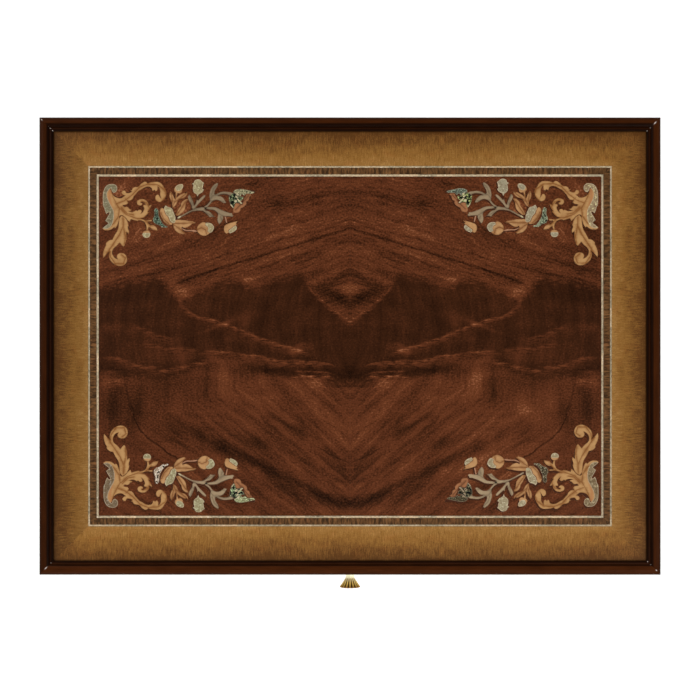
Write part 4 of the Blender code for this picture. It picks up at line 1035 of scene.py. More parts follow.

# Outlines of the two motifs and of the pieces let into them, in marks from the field's corner.
# Each group has one finish.
SCROLL = (
    ((9.4, 11.9), (11.6, 13), (12.5, 15.7), (13.2, 17.3), (14.7, 19.3), (17, 20.8),
     (19.7, 21.5), (22.3, 21.3), (24.1, 19.9), (25.8, 18.7, SHARP), (24.1, 18.3), (22.7, 17.1),
     (22.2, 16), (22.7, 14.7), (24.1, 13.9), (25.5, 14), (26.2, 15.1), (26.7, 16), (28.8, 16.3),
     (30.8, 15.8), (32.5, 14.9, SHARP), (30.8, 13.5, SHARP), (32.6, 13.1), (32.9, 12.1),
     (34, 11), (35.8, 10.3), (37.7, 10.1), (39.5, 9.3), (41.2, 7.5), (43, 6.1), (44.8, 5.1),
     (46.5, 5.1), (47.5, 5.8), (48.2, 6.6, SHARP), (50.4, 5.7), (52.8, 5.3), (55.7, 5.1),
     (58.6, 5.2), (61, 6.2), (62.7, 7.8), (64, 9.9), (65.4, 11.9), (66.5, 14.3), (66.9, 16.8),
     (66.5, 19.5), (65.3, 21.8), (63.6, 23.7), (61.6, 24.9), (59.8, 25.2), (57.7, 24.5),
     (56.4, 23.1), (55.9, 21.2), (56.2, 19.5), (57.2, 18.2), (58.5, 17.8), (59.6, 18.7),
     (60.4, 20.2), (61.7, 21.9, SHARP), (60.9, 19.5), (60.6, 17.1), (60.7, 14.8), (60.4, 12.7),
     (59.5, 11), (58.3, 9.5, SHARP), (58.2, 11.3), (58, 12.9), (57.1, 14.2),
     (56.3, 14.5, SHARP), (55.5, 13.6), (54.8, 13.3, SHARP), (53.9, 14.1), (53.1, 14.2, SHARP),
     (52.6, 13), (52.2, 11.6), (51, 10.5), (49.2, 10), (46.9, 10.2), (44.8, 11), (42.8, 12.2),
     (41, 13.2), (39.3, 14.1), (37.5, 16), (36, 17.7), (34.6, 19.3), (33.6, 21.5, SHARP),
     (31.7, 23.3), (29.5, 24.1), (27.9, 24.4, SHARP), (29, 26.2, SHARP), (27.1, 27.7),
     (25.2, 28.1), (23.3, 28.6, SHARP), (24.9, 30.2), (27, 29.9), (28.8, 30.6), (30.1, 32.1),
     (32.4, 33.2, SHARP), (31.1, 33.9), (28.8, 34.5, SHARP), (33.1, 35.1), (35.2, 34.4),
     (36.7, 33.4, SHARP), (37.8, 34.2, SHARP), (39.6, 33.1), (41.2, 33.1), (42.3, 34.2),
     (42.1, 35.6), (41, 37.3, SHARP), (42.7, 35.9), (44.2, 33.6), (44.8, 31.5), (44.1, 30),
     (43.8, 28.6, SHARP), (45.1, 28.1), (46.5, 28, SHARP), (45.1, 26.2), (43.5, 25.1),
     (42.1, 25.1), (41.3, 25.9), (42.2, 26.1, SHARP), (42.9, 26.6), (42.6, 27.7), (41.3, 28.6),
     (39.6, 28.6), (37.9, 27.4), (37.4, 25.6), (37.9, 23.8, SHARP), (39.3, 23.1), (41, 22.4),
     (43.7, 22.3), (46, 23.2), (47.8, 24.8), (48.9, 26.8), (49.1, 29, SHARP), (50.4, 28.6),
     (52.1, 27.9, SHARP), (51.1, 30.6), (50, 32.8), (48.3, 35.1, SHARP), (49.8, 35.5, SHARP),
     (48.2, 37.2), (46.5, 39), (43.8, 41), (41.2, 41.8, SHARP), (43.8, 42.7), (47, 43.5),
     (52.5, 43.1, SHARP), (52.3, 44.5, SHARP), (48.1, 44.5, SHARP), (48.9, 46.3), (50.5, 47.8),
     (53.6, 48.5), (55.7, 49.5), (57.3, 51.3), (58, 53.6, SHARP), (54.9, 53.3), (52.3, 52.5),
     (50.4, 50.9), (49.1, 50.1, SHARP), (48.5, 53.5, SHARP), (46.9, 53.5, SHARP), (47, 49.7),
     (46.4, 47.8), (45, 45.4), (42.7, 44), (39.4, 43.5), (38.3, 44.2, SHARP), (35.8, 43.6),
     (33.1, 42.8), (31.4, 42.3, SHARP), (30.3, 45.2, SHARP), (28.2, 43.2), (25.9, 40.6),
     (23.2, 38.6, SHARP), (21.5, 38.4, SHARP), (20, 39.5, SHARP), (19.7, 42.8), (18.9, 45.5),
     (18, 48.1), (17.1, 49.9), (15.8, 51.4, SHARP), (14.8, 50.2, SHARP), (13.2, 51.6),
     (10.9, 53), (7.5, 53.5), (4.6, 53.1), (3.2, 51.7, SHARP), (5.6, 50.1), (9, 49.3),
     (10.6, 46.6), (10.9, 40.9), (9.8, 35.1), (6.9, 27.7), (5.7, 21.8), (5.9, 16), (7.5, 13.3)),
    ((22.1, 38.9, SHARP), (24.3, 39.9), (26.6, 42.1), (28.3, 45.5), (29.3, 49.4, SHARP),
     (28.5, 49.7, SHARP), (28.8, 52), (29.6, 54.1), (29.5, 56.9, SHARP), (27, 55.2, SHARP),
     (27.1, 58.9), (26.9, 62.7), (25.9, 66.5), (25.1, 68.8), (24, 69.6), (22.6, 68.6),
     (21.3, 66.9), (20.2, 65.7, SHARP), (18.6, 67.7), (16.7, 69.6), (14.4, 71.5), (13, 73.8),
     (12.8, 76.5), (13.8, 79.1), (15.9, 81.4), (18.4, 82.4, SHARP), (17.4, 80.3), (18, 78),
     (20.1, 76.5), (22.8, 76.3), (25.1, 77.2), (27, 79.5), (27.7, 82.6), (27, 85.6),
     (25.1, 87.9), (22, 89.2), (19, 89.1), (15.5, 87.7), (12.5, 85.3), (10.4, 82.2),
     (9.6, 79.1), (9.7, 76.8), (10.7, 74.5, SHARP), (8.8, 75.7), (6.3, 78.4), (4, 81.1, SHARP),
     (3.6, 78.4), (3.9, 74.9), (5.2, 71.1), (6.8, 68.1, SHARP), (6.5, 66.9), (8.3, 64.6),
     (10.6, 63.3), (13.1, 62.9, SHARP), (14, 60.8), (15.9, 57.3), (17.8, 54.3), (19, 50.4),
     (19.4, 45.8), (20, 41.6)),
    ((46.9, 53.8), (48.9, 54), (50.5, 55.8), (50.8, 57.7), (50, 59.8), (48.1, 61.1), (46.1, 61),
     (44.2, 59.8), (43.2, 57.7), (43.4, 55.8), (44.8, 54.3)),
)
STEMS = (
    ((77.7, 41.4, SHARP), (79.4, 39.8), (83.5, 37.8), (87.9, 35.3), (91.9, 33.5), (96.6, 31.4),
     (99.3, 31.1), (102, 30.5), (106, 30.7), (108.7, 30.3), (112.7, 30.3), (115.9, 30.6),
     (118.6, 31.5), (120.7, 32.7), (122.3, 33.4), (124.7, 34.4), (127.4, 35.4), (130.1, 36.2),
     (132.4, 36.4), (132.8, 37.8), (133.8, 38.6, SHARP), (133.2, 39.7), (130.9, 39.7),
     (128.2, 39.4), (126.1, 39.4), (123.7, 39.4, SHARP), (123.7, 41.5), (123, 43.5),
     (121.5, 45.7), (119.9, 47.4, SHARP), (118.5, 45.3), (118, 42.9), (118.3, 40.2),
     (118.6, 37.8), (117.8, 35.9), (116.4, 34.6), (115.1, 33.6), (112.7, 33), (110, 32.7),
     (107.3, 32.2), (104.9, 32.7, SHARP), (107, 33.9), (109.5, 34.6), (111.2, 35.9),
     (112.8, 37.8), (114, 39.3), (115.5, 39.9, SHARP), (112.7, 40), (110.1, 40.5, SHARP),
     (109.2, 39.1), (107.3, 37.2), (105.2, 35.4), (103, 34.1), (100.6, 33.9), (98.2, 33.9),
     (96.6, 34.1), (92.4, 34.7), (89.7, 36), (86.1, 37.8), (82.6, 39.8), (79, 41.6)),
    ((93.7, 32.5), (92.4, 31), (92.1, 28.7), (90.8, 26), (89.2, 23), (88.5, 20.1),
     (90.2, 17.9, SHARP), (91.5, 20.1), (92.7, 23), (93.9, 25.9), (94.4, 28.8, SHARP),
     (95.3, 28.4), (96.6, 26.2), (97.4, 22.9, SHARP), (98.5, 24, SHARP), (100.2, 22.2),
     (102.8, 19.8), (105.3, 18.4), (105.9, 18.8), (105, 20.8), (103.4, 22.5), (100.9, 25.1),
     (98.3, 27.9), (96.3, 30.6), (95.1, 32.4)),
    ((104.7, 30.4), (106.9, 28.6), (108.9, 26.6), (110.5, 24.2), (110.3, 21.7), (109.9, 18.8),
     (110.4, 15.8), (111.2, 12.9), (112.9, 9.8), (115.2, 7.6), (118.1, 6.5), (118.2, 8.6),
     (116.6, 11.7), (115.1, 14.5), (114.7, 17.3, SHARP), (116, 18, SHARP), (117.9, 16.8),
     (121.1, 15.5), (124.7, 14.9), (128.3, 15.3), (132, 15.8), (133.7, 17, SHARP),
     (132.3, 18.8), (130.1, 18.8), (128, 17.7), (124.7, 17.3), (121.1, 17.7),
     (117.9, 19, SHARP), (121.1, 19.5), (123.2, 20.9), (124.8, 22.8), (126.6, 26, SHARP),
     (124.1, 26.4), (122.1, 25.1), (119.6, 23.6), (117.1, 23.1), (114.5, 23.6), (112.5, 24.9),
     (110.1, 27.8), (107.8, 30.3), (106.1, 32.2)),
)
SHELL_LEAF = (
    ((11.7, 11.4, SHARP), (12.4, 13.6), (13.3, 15.4), (14.5, 16), (16.1, 15.4), (17.5, 13.6),
     (17.8, 11.6), (17.5, 9.8), (16.1, 8.2), (14.4, 7.4), (12.3, 7.3), (10, 7.6), (7.6, 8.6),
     (5.9, 10.5), (4.6, 13), (3.8, 16), (3.5, 19.5), (3.5, 24.8), (3.9, 29.2), (5.1, 31.5),
     (5.4, 33.2), (6.1, 35.1), (7.1, 37.3, SHARP), (8.8, 35.7), (10.6, 35.4, SHARP),
     (9.8, 37.4), (8.3, 39.9), (6, 43.9, SHARP), (8.4, 45.7, SHARP), (9.2, 46.8, SHARP),
     (6.3, 48.9), (3.5, 51.3, SHARP), (6, 52.2), (8.8, 51.6), (11, 50.2), (12.8, 47.4),
     (14, 43.5), (14.6, 39.7), (14.4, 35.1), (13.4, 32.1), (12, 29.5), (10.7, 27.1),
     (9.4, 24.5), (8.3, 21.8), (7.7, 18.9), (7.8, 16), (9, 14), (10.4, 12.3)),
)
CRESCENT = (
    ((56.4, 31.4), (54.9, 33.3), (55.2, 36.6), (54.9, 38.9), (53.9, 41.6), (53.8, 43.9),
     (54.9, 46.1), (56.4, 47.2), (58.7, 47.8), (60.6, 48.9), (62.8, 50.7), (64.8, 50.5),
     (67.4, 51, SHARP), (68.2, 50), (65.3, 48.7), (63.5, 46.6), (61.9, 44.6), (60.6, 42),
     (59.6, 39.5), (59.1, 36.5), (58.9, 34), (57.8, 31.8)),
)
PEARL_PARTS = (
    ((66.1, 28.8, SHARP), (68.7, 30.3), (72.2, 31.6), (73.8, 34.7), (75, 37.8), (75.8, 40),
     (76, 42.6), (75.7, 45.4), (74.3, 46.2), (71.5, 45.3, SHARP), (70.3, 43), (69, 40),
     (66.7, 37.5), (65.6, 35), (64.6, 32)),
    ((98.5, 2.7), (100.9, 3.2), (102.6, 4.8), (104.5, 6.1, SHARP), (103.6, 8.2), (103.4, 10.5),
     (102.7, 12, SHARP), (104.3, 12.8, SHARP), (103.1, 15), (100.2, 16.9), (99.4, 17.2, SHARP),
     (98, 19.8, SHARP), (96.9, 17.2, SHARP), (95.6, 16.6), (93.9, 14.7), (93.5, 11.8), (93.9, 9.6),
     (94.2, 8.2, SHARP), (92.5, 7, SHARP), (94.3, 6.1), (95.1, 4)),
    ((77.6, 8.7), (80.8, 7.6), (83.1, 7.8), (83.7, 9.7), (82.6, 12.1), (80.8, 13.6), (79, 14.1),
     (77.4, 14), (76.2, 12.5), (75.9, 10.9)),
    ((106.4, 46.2, SHARP), (108.4, 46), (111.1, 46.5), (113.6, 48.5), (114.5, 50.5),
     (113.5, 53.4), (111.8, 55.6), (110.4, 56, SHARP), (107.9, 54.5, SHARP), (108.9, 52.3),
     (107.8, 49.8), (105.6, 48.2, SHARP)),
    ((129.1, 54.3), (130.9, 52.5), (133.5, 50.5), (136.3, 48.6, SHARP), (137.3, 51),
     (136.1, 53.5), (133.3, 55.4), (130.4, 56.6, SHARP)),
    ((43.3, 56.8), (46.9, 56.2), (50.6, 56.8), (50.6, 58.6), (49.4, 60.2), (46.9, 61), (44.4, 60.2),
     (43.3, 58.6)),
)
CREST_PARTS = (
    ((134.1, 15.4), (135.4, 13.4), (138.9, 12.4), (143.5, 12.5), (146.8, 13.2), (151.2, 14.2),
     (155, 15.2, SHARP), (154, 16.3), (151, 16.9), (147, 17), (144.5, 19.2, SHARP),
     (142.9, 17.7), (141.3, 18.4), (141.1, 19.6, SHARP), (138.5, 18.8), (136, 16.6)),
)
ABALONE = (
    ((129.4, 21.7), (129.8, 19.5), (132, 17.3), (134.3, 16.3), (136, 16.8), (138.5, 18.9),
     (140.7, 19.8), (144.1, 19.8, SHARP), (143.8, 21.7), (142.5, 23.5), (140.7, 24.6),
     (142.3, 26.8), (138.5, 26.1), (135.6, 26.5), (135.1, 28.9), (133.9, 31.6, SHARP),
     (132, 29.7), (130.4, 26.4)),
)
# The first white piece is a painted highlight: a pale sliver where the root of the main stem catches
# the light
WHITE_PARTS = (
    ((77.8, 41.4, SHARP), (79.1, 40), (81.3, 39.2, SHARP), (80.6, 40.6), (79.2, 41.6)),
    ((137.1, 22.2, SHARP), (138.2, 21.9), (140.7, 24.4), (142.9, 26.4, SHARP), (142.2, 27),
     (139.6, 25)),
    ((134.5, 24, SHARP), (135.9, 23.1), (137.5, 24.6), (136.5, 25.6), (135.1, 25.1)),
    ((135.8, 18.8, SHARP), (137.4, 19.5), (138.3, 20.9), (136.9, 21.1)),
    ((136.7, 16.6, SHARP), (138.1, 16.8), (139.4, 18.1), (138.1, 18.6)),
    ((130.7, 27.5, SHARP), (132, 28), (133.6, 30.4), (133.8, 31.4, SHARP), (132.1, 29.7)),
)
ORANGE_PARTS = (
    ((62.3, 31.2), (60.3, 33.9), (60.4, 36.6), (61.5, 39.4), (62.9, 42.2), (64.6, 45),
     (66.8, 46.9), (68.4, 48.1), (70.1, 48.1), (72.5, 47.8), (73.4, 46.4, SHARP), (71.2, 45.4),
     (69.9, 43), (68.6, 40), (66.3, 37.6), (65.2, 35), (64.2, 32)),
    ((72.7, 31, SHARP), (72.8, 28.4), (72.5, 25.7), (70.9, 22.7), (70, 19.2), (70.4, 16.3),
     (71.3, 14.6, SHARP), (72.3, 16), (73.9, 18.7), (75.1, 21.7), (75.8, 22.1, SHARP),
     (76, 19.2), (76.4, 15.8, SHARP), (74.7, 13.7), (75.1, 11.2), (77.9, 8.5), (80.8, 7.4),
     (83.3, 7.7), (83.9, 9.7), (82.8, 12.3), (82.6, 14.7), (81.1, 16.4), (79.2, 16.6),
     (78.1, 16.2, SHARP), (77.6, 19.2), (77.7, 20.4, SHARP), (79.2, 19.2), (82.1, 17.4),
     (85.1, 16.2), (86.4, 16.7), (87.5, 15.3, SHARP), (87.8, 17.1), (86.4, 19.3), (83.7, 21.4),
     (80.8, 22.3), (79, 23.3), (77.9, 25.1), (76.5, 27.8), (74.7, 30)),
    ((75.9, 38.4), (77.9, 34.5), (79.5, 31.6), (81.1, 29.4), (81.8, 26.5), (83.7, 23.9),
     (85.9, 22.7), (88.4, 22.2, SHARP), (88, 23.8), (86.7, 25.9), (86.1, 29.4), (85.2, 32.9),
     (83.3, 35.4), (81.1, 37.3), (79, 38.9), (76.1, 38.5, SHARP)),
    ((73.6, 46.7), (74.8, 44), (76.8, 43.1), (81.2, 43.1), (85.7, 43.4), (90.6, 44.4),
     (93.7, 44.7), (96.1, 46.3, SHARP), (92.8, 47.1), (90.6, 48.7), (87.5, 50.5), (84.8, 51),
     (82.5, 49.9, SHARP), (81.9, 51.6, SHARP), (83.2, 53.9), (85.9, 56.3, SHARP), (84.8, 57.4),
     (80.8, 56.8), (77.7, 55.4), (75.2, 52.5), (73.9, 49.4)),
    ((97.5, 51.6), (98.6, 48.9), (100.9, 46.5), (104, 45.3), (106.3, 46.1, SHARP),
     (105.5, 48.3, SHARP), (107.7, 49.9), (108.7, 52.3), (107.8, 54.5, SHARP),
     (110.3, 56.1, SHARP), (107.6, 58.3), (104.4, 59), (101.3, 58.1), (98.9, 56.1),
     (97.7, 54.3)),
    ((124.4, 52.3), (125.4, 48.7), (129, 46.7), (133.3, 45.4), (138.2, 44.4, SHARP),
     (136.3, 46.7, SHARP), (137.5, 47.7, SHARP), (136.1, 48.4), (133.3, 50.3), (130.7, 52.3),
     (128.8, 54.1), (129.4, 55.6, SHARP), (126.9, 57, SHARP), (125.3, 55.4)),
    ((50.4, 49.4, SHARP), (53, 49.4), (55.6, 50), (57, 51.8), (57.8, 53.2, SHARP), (55.6, 52.8),
     (53.4, 52.4), (51.4, 51)),
    ((44, 56.6), (45.2, 54.4), (47.4, 53.6), (49.8, 54.4), (50.9, 56.6), (47.4, 57.4)),
)
RUSSET_PARTS = (
    ((133.6, 33.3), (134.1, 35.5), (136.7, 36.1), (139.2, 35.5), (140.7, 33.7),
     (141.1, 31.7, SHARP), (143.6, 30.6), (145.6, 29.1), (146.9, 27.3), (146.7, 24.9, SHARP),
     (148.7, 23.8), (149.6, 21.7), (150.3, 19.8), (151.9, 18.4), (151.1, 17.5, SHARP),
     (148, 17.3), (146.5, 18), (146, 19.8), (144.5, 21.7), (143.6, 24.9), (142.6, 27.7, SHARP),
     (139.2, 26.8), (136.1, 26.8), (135.1, 29.3), (134.1, 31.5)),
)
PINK_PARTS = (
    ((81.9, 51, SHARP), (86.6, 53.1), (90.6, 53.2), (96.4, 53.7), (97.8, 54.8, SHARP),
     (96.4, 55), (90.6, 54.3), (86.1, 54.1), (82.6, 52.3, SHARP)),
    ((125.1, 39.9, SHARP), (126.4, 39.7, SHARP), (127.7, 45.8, SHARP), (126.6, 46.2, SHARP)),
)
ORANGE_VEINS = (
    ((73.2, 30), (75.5, 24.5), (77, 19)),
    ((74.8, 26), (79, 22.6), (86, 17.5)),
    ((73.4, 25), (72.4, 20), (71.8, 16)),
    ((77.6, 37.6), (81.6, 32), (85, 26.5), (88, 23.5)),
    ((74.4, 48), (80, 52), (85.4, 56.6)),
    ((75, 46.6), (83, 46.8), (93.6, 46)),
    ((97.6, 53), (102, 51), (106, 53), (107, 57)),
    ((61.4, 36), (64, 42), (69, 47)),
    ((136, 33), (141, 28), (149, 19)),
)

# Pale and dark shades of the coloured woods in the sprays
WOOD_TONES = {
    "orange": ((180, 136, 91), (124, 80, 45)),
    "russet": ((158, 106, 70), (104, 64, 40)),
    "pink": ((176, 130, 100), (134, 92, 66)),
}

# The stained wood is not equally dark in the four corners
STAIN_SHARES = {"back_left": 1.02, "back_right": 1.08, "front_left": 1.14, "front_right": 1.16}

# Each corner's own shells: pale, dark and gleam. The white ones are alike in three corners.
WHITE_SHELL = ((188, 182, 140), (130, 126, 94), (240, 232, 196))
SHELLS = {
    "back_left": {
        "leaf": ((132, 126, 98), (104, 90, 68), (146, 138, 112)),
        "crescent": ((92, 108, 88), (32, 40, 32), (134, 160, 136)),
        "sepals": ((100, 112, 80), (30, 32, 26), (196, 208, 150)),
        "pearl": ((164, 150, 114), (134, 118, 86), (186, 176, 136)),
        "crest": ((152, 144, 108), (64, 64, 48), (206, 196, 152)),
    },
    "back_right": {
        "leaf": ((162, 144, 112), (120, 96, 70), (204, 192, 142)),
        "crescent": ((138, 144, 116), (60, 68, 54), (190, 206, 166)),
        "sepals": ((146, 156, 96), (40, 46, 32), (232, 238, 150)),
        "pearl": ((158, 150, 124), (130, 114, 90), (178, 170, 142)),
        "crest": ((104, 110, 94), (48, 50, 42), (170, 186, 158)),
    },
    "front_left": {
        "leaf": ((126, 108, 84), (92, 74, 54), (142, 130, 116)),
        "crescent": ((204, 186, 164), (122, 98, 78), (246, 240, 226)),
        "sepals": ((134, 142, 110), (28, 30, 26), (190, 220, 156)),
        "pearl": ((160, 152, 118), (130, 116, 84), (186, 182, 146)),
        "crest": ((156, 156, 114), (78, 78, 54), (228, 240, 188)),
    },
    "front_right": {
        "leaf": ((138, 120, 92), (100, 80, 56), (170, 156, 122)),
        "crescent": ((98, 86, 62), (40, 32, 22), (180, 170, 140)),
        "sepals": ((96, 86, 62), (36, 28, 20), (160, 162, 128)),
        "pearl": ((166, 156, 124), (130, 110, 84), (188, 178, 148)),
        "crest": ((80, 66, 46), (36, 28, 20), (126, 124, 94)),
        "white": ((92, 74, 52), (48, 36, 24), (146, 136, 104)),
    },
}

# The level of noise below which a shell is black, for the kinds that have hollows
HOLLOWS = {"crescent": 0.44, "sepals": 0.53, "crest": 0.38}

# Heights of the motifs and of one layer of inlay over the field, and the pitch of the lines
# that cut them up for shading, in millimetres
MOTIF_RISE = 0.03
LAYER = 0.025
SCORE_PITCH = 0.9

# How far each corner's motifs are laid off their pockets, rightward and backward, in marks
SLIPS = {
    "back_left": (0.5, 0.0),
    "back_right": (0.4, 0.75),
    "front_left": (1.2, 0.75),
    "front_right": (0.8, 1.6),
}


def veneer(outlines, veins, low, high):
    """Pieces of one finish cut out between two heights in millimetres over the field."""
    low, high = VENEER_TOP + low * MM, VENEER_TOP + high * MM
    obj = joined([cut_out(outline, low, high) for outline in outlines])
    score(obj, SCORE_PITCH * MM)
    keep_distances(obj, veins)
    return obj


def motif_base(node, outlines, veins, warm=()):
    """A motif cut smoothly, a hair above its own bed of dark glue, which fills the pocket."""
    bed = own_copy(NODES[node])
    bed.parent = None
    for key in list(bed.keys()):
        del bed[key]
    right_way_out(bed)
    edit(bed)
    bpy.ops.mesh.dissolve_limited(angle_limit=0.002)
    bpy.ops.object.mode_set(mode="OBJECT")
    motif = veneer(outlines, veins, 0.005, MOTIF_RISE)
    if warm:
        away = distance_to(flat_points(motif), *drawn_lines([warm]))
        store(motif, "warm", np.clip(1.0 - away / (3 * MM), 0, 1))
    for piece, share in ((bed, 1.0), (motif, 0.0)):
        store(piece, "glue", [share] * len(piece.data.vertices))
    only(motif)
    bed.select_set(True)
    bpy.ops.object.join()
    return motif


def inlay(outlines, veins=(), level=1):
    """Pieces of one finish, laid a hair above the motif that carries them."""
    return veneer(outlines, veins, MOTIF_RISE + 0.001, MOTIF_RISE + 0.01 + LAYER * level)


def strip_between(first, last, half_wide):
    """The corners of a narrow straight strip between two marks."""
    start, end = Vector(first), Vector(last)
    aside = (end - start).orthogonal().normalized() * half_wide
    return [(*point, SHARP) for point in (start + aside, end + aside, end - aside, start - aside)]


class Op:
    """What every step's operator shares."""

    bl_options = {"REGISTER", "UNDO"}

    def execute(self, context):
        """Runs the step with the panel's settings."""
        self.build(context.scene.table_woods, context.scene.table_stage)
        return {"FINISHED"}


class TABLE_OT_stage(Op, bpy.types.Operator):
    """Camera straight above the top, pale floor and wall, room light and four lamps"""

    bl_idname = "side_table.stage"
    bl_label = "Stage"

    def build(self, woods, stage):
        self.camera(stage)
        self.ground(stage)
        self.room(stage)
        # Name, place, width, depth and share of the power
        lamps = (
            ("key_lamp", (1.5, -1.3, 2.9), 1.6, 1.6, 0.94),
            ("fill_lamp", (-1.7, 1.1, 2.7), 1.8, 1.8, 0.76),
            ("front_lamp", (-0.9, -2.4, 1.6), 1.2, 1.2, 0.3),
            ("strip_lamp", (0, -0.86, 2.9), 3.6, 0.3, 0.24),
        )
        for name, place, wide, deep, share in lamps:
            only(None)
            bpy.ops.object.light_add(type="AREA", location=place)
            lamp = bpy.context.object
            lamp.name = name
            lamp.data.shape = "RECTANGLE"
            lamp.data.size = wide
            lamp.data.size_y = deep
            lamp.data.energy = stage.lamp_power * share
            lamp.visible_camera = False
            aim = Vector((0, MIDDLE_Y, VENEER_TOP)) - Vector(place)
            lamp.rotation_euler = aim.to_track_quat("-Z", "Y").to_euler()

    def camera(self, stage):
        """Looks straight down, shifted so that the whole plan is in view."""
        only(None)
        place = (0, MIDDLE_Y - stage.camera_forward, VENEER_TOP + stage.camera_height)
        bpy.ops.object.camera_add(location=place, rotation=(0, 0, 0))
        camera = bpy.context.object
        camera.data.lens = stage.lens
        camera.data.sensor_width = 36
        camera.data.shift_y = 0.1112
        bpy.context.scene.camera = camera
        bpy.context.scene.view_settings.view_transform = "Standard"

    def ground(self, stage):
        """The floor keeps a soft shadow, and the wall is only seen and mirrored."""
        only(None)
        bpy.ops.mesh.primitive_circle_add(
            vertices=96, radius=stage.floor_radius, fill_type="NGON", location=(0, 0, 0)
        )
        floor = settle(bpy.context.object, "floor")
        finish = Finish("floor")
        seen = self.seen(finish)
        pale = finish.node("ShaderNodeBsdfDiffuse", values=((0.8, 0.8, 0.8, 1.0),))
        glow = finish.node("ShaderNodeEmission", values=((1.0, 1.0, 1.0, 1.0), seen * 0.55))
        lit = finish.node("ShaderNodeAddShader", values=(pale.outputs[0], glow.outputs[0]))
        finish.node("ShaderNodeOutputMaterial", values=(lit.outputs[0],))
        floor.data.materials.append(finish.material)
        only(None)
        bpy.ops.mesh.primitive_cylinder_add(
            vertices=96, radius=stage.floor_radius, depth=9.0, end_fill_type="NOTHING",
            location=(0, 0, 0),
        )
        wall = settle(bpy.context.object, "wall")
        finish = Finish("wall")
        seen = self.seen(finish)
        clear = finish.node("ShaderNodeBsdfTransparent")
        glow = finish.node("ShaderNodeEmission", values=((1.0, 1.0, 1.0, 1.0), 1.0))
        either = finish.node("ShaderNodeMixShader", values=(seen, clear.outputs[0], glow.outputs[0]))
        finish.node("ShaderNodeOutputMaterial", values=(either.outputs[0],))
        wall.data.materials.append(finish.material)

    def seen(self, finish):
        """1 for rays that look at a surface or mirror it, 0 for the light it gives."""
        path = finish.node("ShaderNodeLightPath")
        camera, glossy, through = (
            Number(finish, path.outputs[name])
            for name in ("Is Camera Ray", "Is Glossy Ray", "Is Transmission Ray")
        )
        return camera.most(glossy).most(through)

    def room(self, stage):
        """Light from all round, weaker straight above so that the polish stays dark."""
        world = bpy.data.worlds.new("room")
        bpy.context.scene.world = world
        world.use_nodes = True
        tree = world.node_tree
        tree.nodes.clear()
        where = tree.nodes.new("ShaderNodeTexCoord")
        split = tree.nodes.new("ShaderNodeSeparateXYZ")
        fall = tree.nodes.new("ShaderNodeMapRange")
        light = tree.nodes.new("ShaderNodeBackground")
        end = tree.nodes.new("ShaderNodeOutputWorld")
        for key, value in zip(range(1, 5), (0.7, 1.0, stage.sky * 1.7, stage.sky * 0.08)):
            fall.inputs[key].default_value = value
        light.inputs[0].default_value = (1.0, 0.99, 0.97, 1.0)
        tree.links.new(where.outputs["Generated"], split.inputs[0])
        tree.links.new(split.outputs[2], fall.inputs[0])
        tree.links.new(fall.outputs[0], light.inputs[1])
        tree.links.new(light.outputs[0], end.inputs[0])


class TABLE_OT_mouldings(Op, bpy.types.Operator):
    """Edge moulding in four mitred lengths: bead, quirk, reed, tongue, cove and flat"""

    bl_idname = "side_table.mouldings"
    bl_label = "Edge mouldings"

    def build(self, woods, stage):
        material = edge_wood(woods)
        half_x, half_y = HALF_TOP, HALF_TOP_Y
        for index, side in enumerate(("left", "front", "right", "back")):
            half_along, half_across = (half_x, half_y) if index % 2 else (half_y, half_x)
            piece = self.length(half_along, half_across)
            piece.rotation_euler = (0, 0, math.radians(90 * index))
            piece.location = (0, MIDDLE_Y, 0)
            settle(piece, f"moulding_{side}")
            bpy.ops.object.shade_smooth_by_angle(angle=math.radians(32))
            finish_piece(piece, material, "table", "mahogany", f"edge_moulding_{side}")

    def section(self):
        """The section as distances in from the outer face and down from the crest."""
        bead = self.sweep((5.0, 5.0), (5.0, 5.0), 180, 90) + self.sweep((5.0, 1.8), (6.8, 1.8), 90, 0)
        reed = self.sweep((14.7, 3.0), (2.1, 1.2), 180, 0)
        # The tongue runs in the middle of the ground, below the veneer
        middle = (EDGE_HIGH.z - VENEER_TOP) / MM + VENEER + GROUND / 2
        high, low = middle - TONGUE_THICK / 2, middle + TONGUE_THICK / 2
        deep = MOULDING_WIDE + TONGUE_LONG
        inside = [(MOULDING_WIDE, high), (deep, high), (deep, low), (MOULDING_WIDE, low)]
        foot = [(MOULDING_WIDE, 26.0), (9.4, 26.0)]
        cove = self.sweep((1.2, 21.7), (8.2, 8.2), 0, 90)
        return bead + [(11.8, 3.0)] + reed + inside + foot + cove + [(0, 13.5)]

    def sweep(self, centre, radii, start, end, steps=8):
        """Points round part of an ellipse."""
        turns = [math.radians(start + (end - start) * step / steps) for step in range(steps + 1)]
        return [
            (centre[0] + radii[0] * math.cos(turn), centre[1] - radii[1] * math.sin(turn))
            for turn in turns
        ]

    def length(self, half_along, half_across):
        """One length along y, with its outer face towards -x, cut at both mitres."""
        knots = [
            (inset * MM - half_across, EDGE_HIGH.z - drop * MM, "VECTOR")
            for inset, drop in self.section()
        ]
        piece = closed_solid(knots, half_along, 1, rotation=(math.radians(90), 0, 0))
        right_way_out(piece)
        edit(piece)
        for sign in (-1, 1):
            bpy.ops.mesh.select_all(action="SELECT")
            bpy.ops.mesh.bisect(
                plane_co=(-half_across, sign * (half_along - 0.003 * MM), 0),
                plane_no=(1, sign, 0),
                use_fill=True,
                clear_outer=True,
            )
        bpy.ops.object.mode_set(mode="OBJECT")
        return piece


